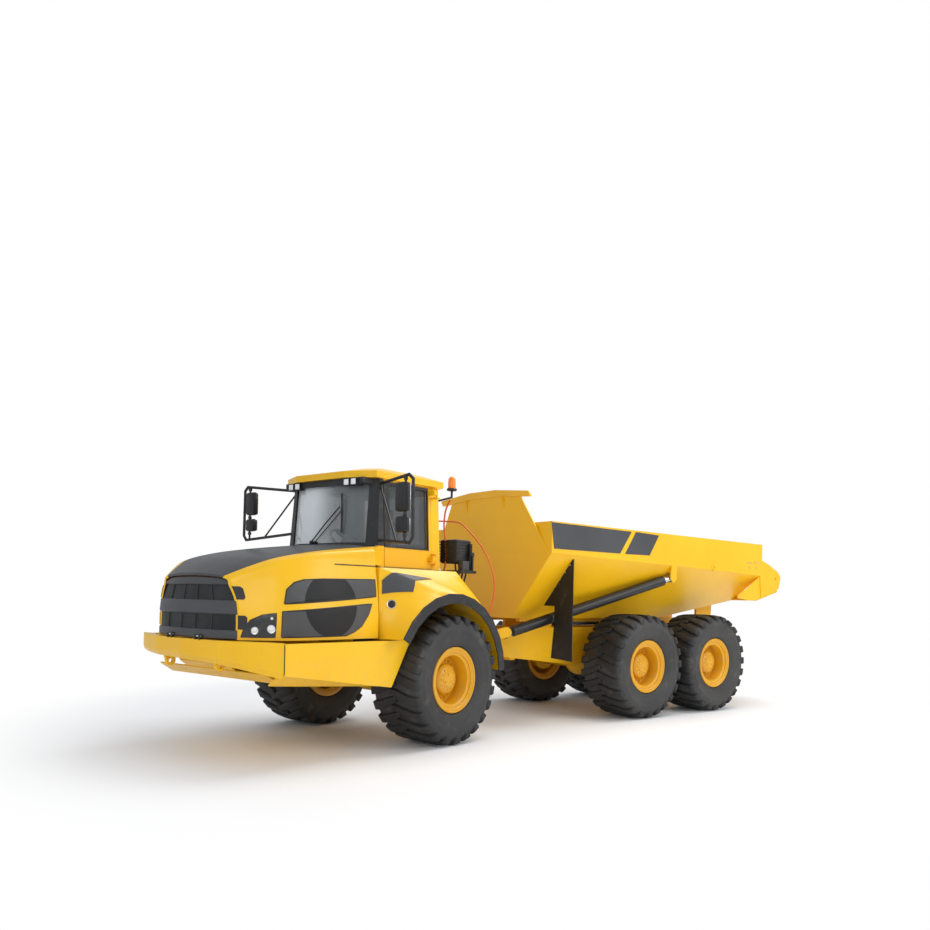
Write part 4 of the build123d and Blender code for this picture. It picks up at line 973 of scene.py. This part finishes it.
shells = both_sides(fender_shell) + both_sides(
    lambda: block("bracket", (-0.430, 0.701, 1.660), (-0.350, 0.850, 1.740), yellow))
fitted("fender_shells", joined("fenders", shells, yellow), "front_frame",
       replaced=["fenders"])

# Fender dress: the dark grey stripe carries on from the hood's upper vent over the fender's sloping side. A
# filler cap in a bright ring sits low in the front of the left fender.
stripe_rows = []
for k in range(17):
    low_end = Vector((2.453, 0.056)).lerp((3.018, 0.582), k / 16)
    top_end = Vector((3.240, 0.042)).lerp((5.182, 0.393), k / 16)
    stripe_rows.append([tuple(low_end.lerp(top_end, j / 60)) for j in range(61)])
for side, place in BOTH_SIDES:
    fitted(f"fender_stripe_{side}", patch(fender_side, stripe_rows, 0.008, hood_grey),
           "front_frame", place)
cap = [spun("cap", [(0.0001, 0.010), (0.020, 0.010), (0.024, 0.006), (0.034, 0.006), (0.040, 0.000)], 32,
            closed=False),
       spun("ring", [(0.040, -0.004), (0.044, 0.006), (0.052, 0.004), (0.054, -0.004)], 32, closed=False)]
cap[0].materials.append(black_plastic)
cap[1].materials.append(bright_steel)
for part in cap:
    part.transform(facing(fender_side, 1.941, 0.283))
fitted("filler_cap", joined("cap", cap, black_plastic, bright_steel), "front_frame")

# Wheel house: a black plastic liner closes the inner side of each front arch, and a rubber seal runs along
# the foot of the cab's side, under the door.
liner_line = [(0.985, 1.150), (0.985, 1.600), (0.900, 1.745), (-0.395, 1.745), (-0.520, 1.860),
              (-0.760, 1.560), (-0.930, 1.150)]
liner = [lofted("liner", [[(x, sign * y, z) for x, z in liner_line] for y in (0.698, 0.712)])
         for sign in (1, -1)]
liner += [block("seal", (-0.390, y - 0.006, 2.083), (1.020, y + 0.006, 2.098), black_plastic)
          for y in (0.831, -0.831)]
fitted("arch_liners", joined("liners", liner, black_plastic), "front_frame")

# Handrail behind the cab: bent orange tube, clamped to the cab's rear corner and standing in a foot on the
# fender's deck
RAIL_X = -0.620
rail = [(RAIL_X, y, z) for y, z in ((0.775, 3.025), (0.700, 2.930), (0.671, 2.780), (0.671, 2.619),
                                    (0.729, 2.352), (0.716, 2.220), (0.678, 2.085))]
rail_parts = [tube("rail", rail, 0.011, hose_orange, smooth_bends=True),
              tube("foot", [(RAIL_X, 0.678, 2.078), (RAIL_X, 0.678, 2.090)], 0.030, black_plastic)]
fitted("handrail", joined("handrail", rail_parts, hose_orange, black_plastic), "front_frame")


# Stripes of the load body: two plain dark grey fields high on each side, in line with the hood's stripes.
# Outlines in x and z.
def slab(name, corners, out, material):
    "Thin plate from its outline and the way it stands out"
    out = Vector(out)
    mesh = lofted(name, [[Vector(p) - out * 0.3 for p in corners], [Vector(p) + out for p in corners]])
    mesh.materials.append(material)
    return mesh


BODY_HALF = 1.350


fields = (((-2.181, 2.805), (-3.821, 2.778), (-3.574, 2.445), (-2.237, 2.449)),
          ((-3.917, 2.781), (-4.450, 2.762), (-4.239, 2.448), (-3.683, 2.444)))
for side, sign in (("left", 1), ("right", -1)):
    plates = [slab("field", [(x, sign * BODY_HALF, z) for x, z in outline], (0, sign * 0.004, 0), hood_grey)
              for outline in fields]
    fitted(f"body_stripe_{side}", joined("fields", plates, hood_grey), "dump_body", REAR)

# Driver's place: a cushion and a high back in dark cloth on a black base, with a head rest. It shows through
# the cab's glass.
cushions = [block("cushion", (-0.130, -0.245, 2.150), (0.365, 0.245, 2.268), seat_cloth, 0.040),
            block("back", (-0.245, -0.235, 2.180), (-0.135, 0.235, 2.720), seat_cloth, 0.040),
            block("head_rest", (-0.240, -0.140, 2.735), (-0.150, 0.140, 2.895), seat_cloth, 0.035),
            block("base", (-0.020, -0.150, 1.812), (0.240, 0.150, 2.155), black_plastic, 0.010)]
fitted("seat_dressed", joined("seat", cushions, seat_cloth, black_plastic), "front_frame",
       replaced=["driver_seat"])

# Front bumper: a folded beam bowed round the hood's foot, with two towing plates and the lugs of the hood's
# hinge. It reaches lower on the left, where it meets the deep skirt. Rows from the left end to the middle:
# front face x and y, inner face x and y, height of the lower edge on the left and on the right.
BUMPER_TOP = 1.286
bumper_rows = (
    (2.440, 1.268, 2.441, 1.190, 0.932, 1.098), (2.545, 1.085, 2.450, 1.030, 0.968, 1.096),
    (2.618, 0.935, 2.515, 0.880, 0.996, 1.092), (2.712, 0.570, 2.608, 0.540, 1.048, 1.082),
    (2.756, 0.000, 2.650, 0.000, 1.070, 1.070),
)


def bumper_outline(row, side):
    x, y, x_in, y_in = row[:4]
    low = row[4] if side > 0 else row[5]
    x_foot, y_foot = x + (x_in - x) * 0.3, y + (y_in - y) * 0.3
    points = ((x - 0.006, y, BUMPER_TOP), (x, y, BUMPER_TOP - 0.006), (x, y, low + 0.055),
              (x_foot, y_foot, low), (x_in, y_in, low + 0.02), (x_in, y_in, BUMPER_TOP))
    return [(px, py * side, pz) for px, py, pz in points]


beam = lofted("beam", [bumper_outline(row, 1) for row in bumper_rows]
              + [bumper_outline(row, -1) for row in reversed(bumper_rows[:-1])])
beam.materials.append(yellow)
bumper = [beam]
plate = [(2.548, 1.030), (2.575, 1.066), (2.600, 1.072), (2.640, 1.060), (2.655, 1.030), (2.672, 1.080),
         (2.690, 1.180), (2.520, 1.180)]
for sign in (1, -1):
    eye = spun("eye", [(0.026, -0.020), (0.026, 0.020), (0.054, 0.020), (0.054, -0.020)], 40)
    eye.materials.append(yellow)
    eye.transform(Matrix.Translation((2.600, sign * 0.450, 1.018)))
    bracket_y = sign * 0.430
    bumper += [eye, lofted("plate", [[(x, sign * y, z) for x, z in plate] for y in (0.432, 0.468)]),
               block("bracket", (2.380, bracket_y - 0.020, 1.155), (2.640, bracket_y + 0.020, 1.265), yellow)]
    for lug_y in (sign * HOOD_HINGE_Y - 0.037, sign * HOOD_HINGE_Y + 0.037):
        bumper.append(block("lug", (2.709, lug_y - 0.010, 1.281), (2.743, lug_y + 0.010, 1.335), steel_black))
mesh = joined("bumper", bumper, yellow, steel_black)
fitted("bumper_dressed", mesh, "front_frame", replaced=["front_bumper"])
seam = tube("seam", [(2.438, 1.2745, 1.276), (2.438, 1.2745, 0.975)], 0.005, black_plastic)
fitted("bumper_seam", seam, "front_frame")

# Side skirts: yellow plates between bumper and fender whose feet are turned in towards the frame. The left
# one is deep, the right one high.
FRONT_X, REAR_X, REAR_FOOT = 2.436, 0.945, 0.752
skirts = []
for sign, front_foot, drop in ((1, 0.968, 0.118), (-1, 1.150, 0.060)):
    outline = [(FRONT_X, 1.276), (FRONT_X, front_foot), (0.930, 0.748), (0.630, 1.266), (1.000, 1.268)]
    skirts.append(lofted("skirt", [[(x, sign * y, z) for x, z in outline] for y in (1.205, 1.268)]))
    turned_in = []
    for x, y_edge in ((2.430, 1.030), (2.100, 1.070), (REAR_X, 1.100)):
        z = REAR_FOOT + (front_foot - REAR_FOOT) * (x - REAR_X) / 1.490
        z_edge = z - drop * (x - 0.900) / 1.530
        turned_in.append([(x, sign * 1.210, z + 0.030), (x, sign * 1.262, z + 0.002),
                          (x, sign * y_edge, z_edge), (x, sign * (y_edge - 0.010), z_edge + 0.014)])
    skirts.append(lofted("turned_in", turned_in))
fitted("skirts_dressed", joined("skirts", skirts, yellow), "front_frame",
       replaced=["side_skirts"])

# Behind the cab: intake column, ribbed equipment box on a tray, canisters, valve block and hoses. A second
# orange tube arches from the cab down past the fender to the frame.
parts = [block("column", (-0.640, 0.420, 1.310), (-0.402, 0.560, 2.975), black_plastic, 0.020),
         block("plinth", (-0.900, -0.520, 1.332), (-0.482, 0.620, 1.500), steel_black, 0.010),
         block("box", (-0.915, 0.610, 2.200), (-0.610, 0.900, 2.510), black_plastic, 0.030),
         block("tray", (-0.920, 0.420, 2.075), (-0.600, 0.990, 2.110), steel_black, 0.006),
         block("valve", (-0.780, 0.900, 2.110), (-0.640, 0.985, 2.230), cast_metal, 0.012)]
for k in range(7):
    z = 2.235 + 0.040 * k
    parts.append(block("rib", (-0.900, 0.604, z), (-0.604, 0.908, z + 0.014), steel_black))
for y, foot, top, radius in ((0.930, 2.110, 2.460, 0.024), (0.965, 2.110, 2.330, 0.016),
                             (0.945, 2.300, 2.345, 0.040)):
    parts.append(tube("canister", [(-0.860, y, foot), (-0.860, y, top)], radius, black_plastic))
for y in (0.640, 0.700, 0.760, 0.820):
    hose = [(-0.900, y, 2.200), (-0.912, y + 0.02, 2.120), (-0.880, y - 0.03, 1.900),
            (-0.860, y - 0.20, 1.650), (-0.800, y - 0.28, 1.480)]
    parts.append(tube("hose", hose, 0.012, black_plastic, smooth_bends=True))
mesh = joined("air_unit", parts, black_plastic, steel_black, cast_metal)
fitted("air_unit_dressed", mesh, "front_frame", replaced=["air_unit"])
ARCH_X = -0.750
arch = [(-0.640, 0.560, 2.757)]
arch += [(ARCH_X, y, z) for y, z in ((0.641, 2.757), (0.840, 2.740), (1.002, 2.607), (1.200, 2.420),
                                     (1.319, 2.243), (1.420, 1.990), (1.400, 1.700), (1.330, 1.560))]
fitted("arched_tube", tube("arch", arch, 0.010, hose_orange, smooth_bends=True),
       "front_frame")

# Rubber flaps: guards in front of the middle wheels, bolted to the body's slope, with a wing to the inside.
# Outline in y and z.
flap_line = [(0.668, 1.665), (1.285, 2.330), (1.315, 2.320), (1.315, 0.892), (0.901, 0.918), (0.955, 1.400),
             (0.955, 1.665)]
flaps = [lofted("flap", [[(x, sign * y, z) for y, z in flap_line] for x in (-2.666, -2.654)])
         for sign in (1, -1)]
for sign in (1, -1):
    for k in range(6):
        y, z = sign * (0.780 + 0.095 * k), 1.745 + 0.099 * k
        flaps.append(tube("bolt", [(-2.676, y, z), (-2.650, y, z)], 0.012, bright_steel))
fitted("flaps_dressed", joined("flaps", flaps, flap_rubber, bright_steel), "dump_body", REAR,
       ["body_flaps"])

# Small fittings of the load body: closing plates with bolts at the tail, a lifting eye low on each side, and
# one on the front wall
tail = [(-6.560, 1.845), (-7.190, 2.215), (-7.230, 2.190), (-7.235, 1.870), (-7.150, 1.812), (-6.900, 1.800)]
tail_bolts = ((-6.821, 2.439), (-6.900, 2.441), (-7.020, 2.447), (-7.090, 2.450), (-6.860, 2.360),
              (-7.060, 2.364))
fittings = []
for sign in (1, -1):
    fittings.append(lofted("closing", [[(x, sign * y, z) for x, z in tail] for y in (1.322, 1.334)]))
    eye = spun("eye", [(0.020, -0.004), (0.020, 0.012), (0.052, 0.012), (0.058, -0.004)], 32)
    eye.materials.append(yellow)
    if sign < 0:
        eye.transform(Matrix.Rotation(pi, 4, "Z"))
    eye.transform(Matrix.Translation((-5.856, sign * BODY_HALF, 2.327)))
    fittings.append(eye)
    for x, z in tail_bolts:
        ends = [(x, sign * (BODY_HALF - 0.004), z), (x, sign * (BODY_HALF + 0.006), z)]
        fittings.append(tube("bolt", ends, 0.013, bright_steel))
    ring = spun("ring", [(0.016, -0.01), (0.016, 0.030), (0.044, 0.030), (0.052, -0.01)], 32)
    ring.materials.append(yellow)
    ring.transform(Matrix.Translation((-2.245, sign * 0.705, 2.265)) @ Matrix.Rotation(radians(-90), 4, "Z"))
    fittings.append(ring)
fitted("body_fittings", joined("fittings", fittings, yellow, bright_steel), "dump_body", REAR)
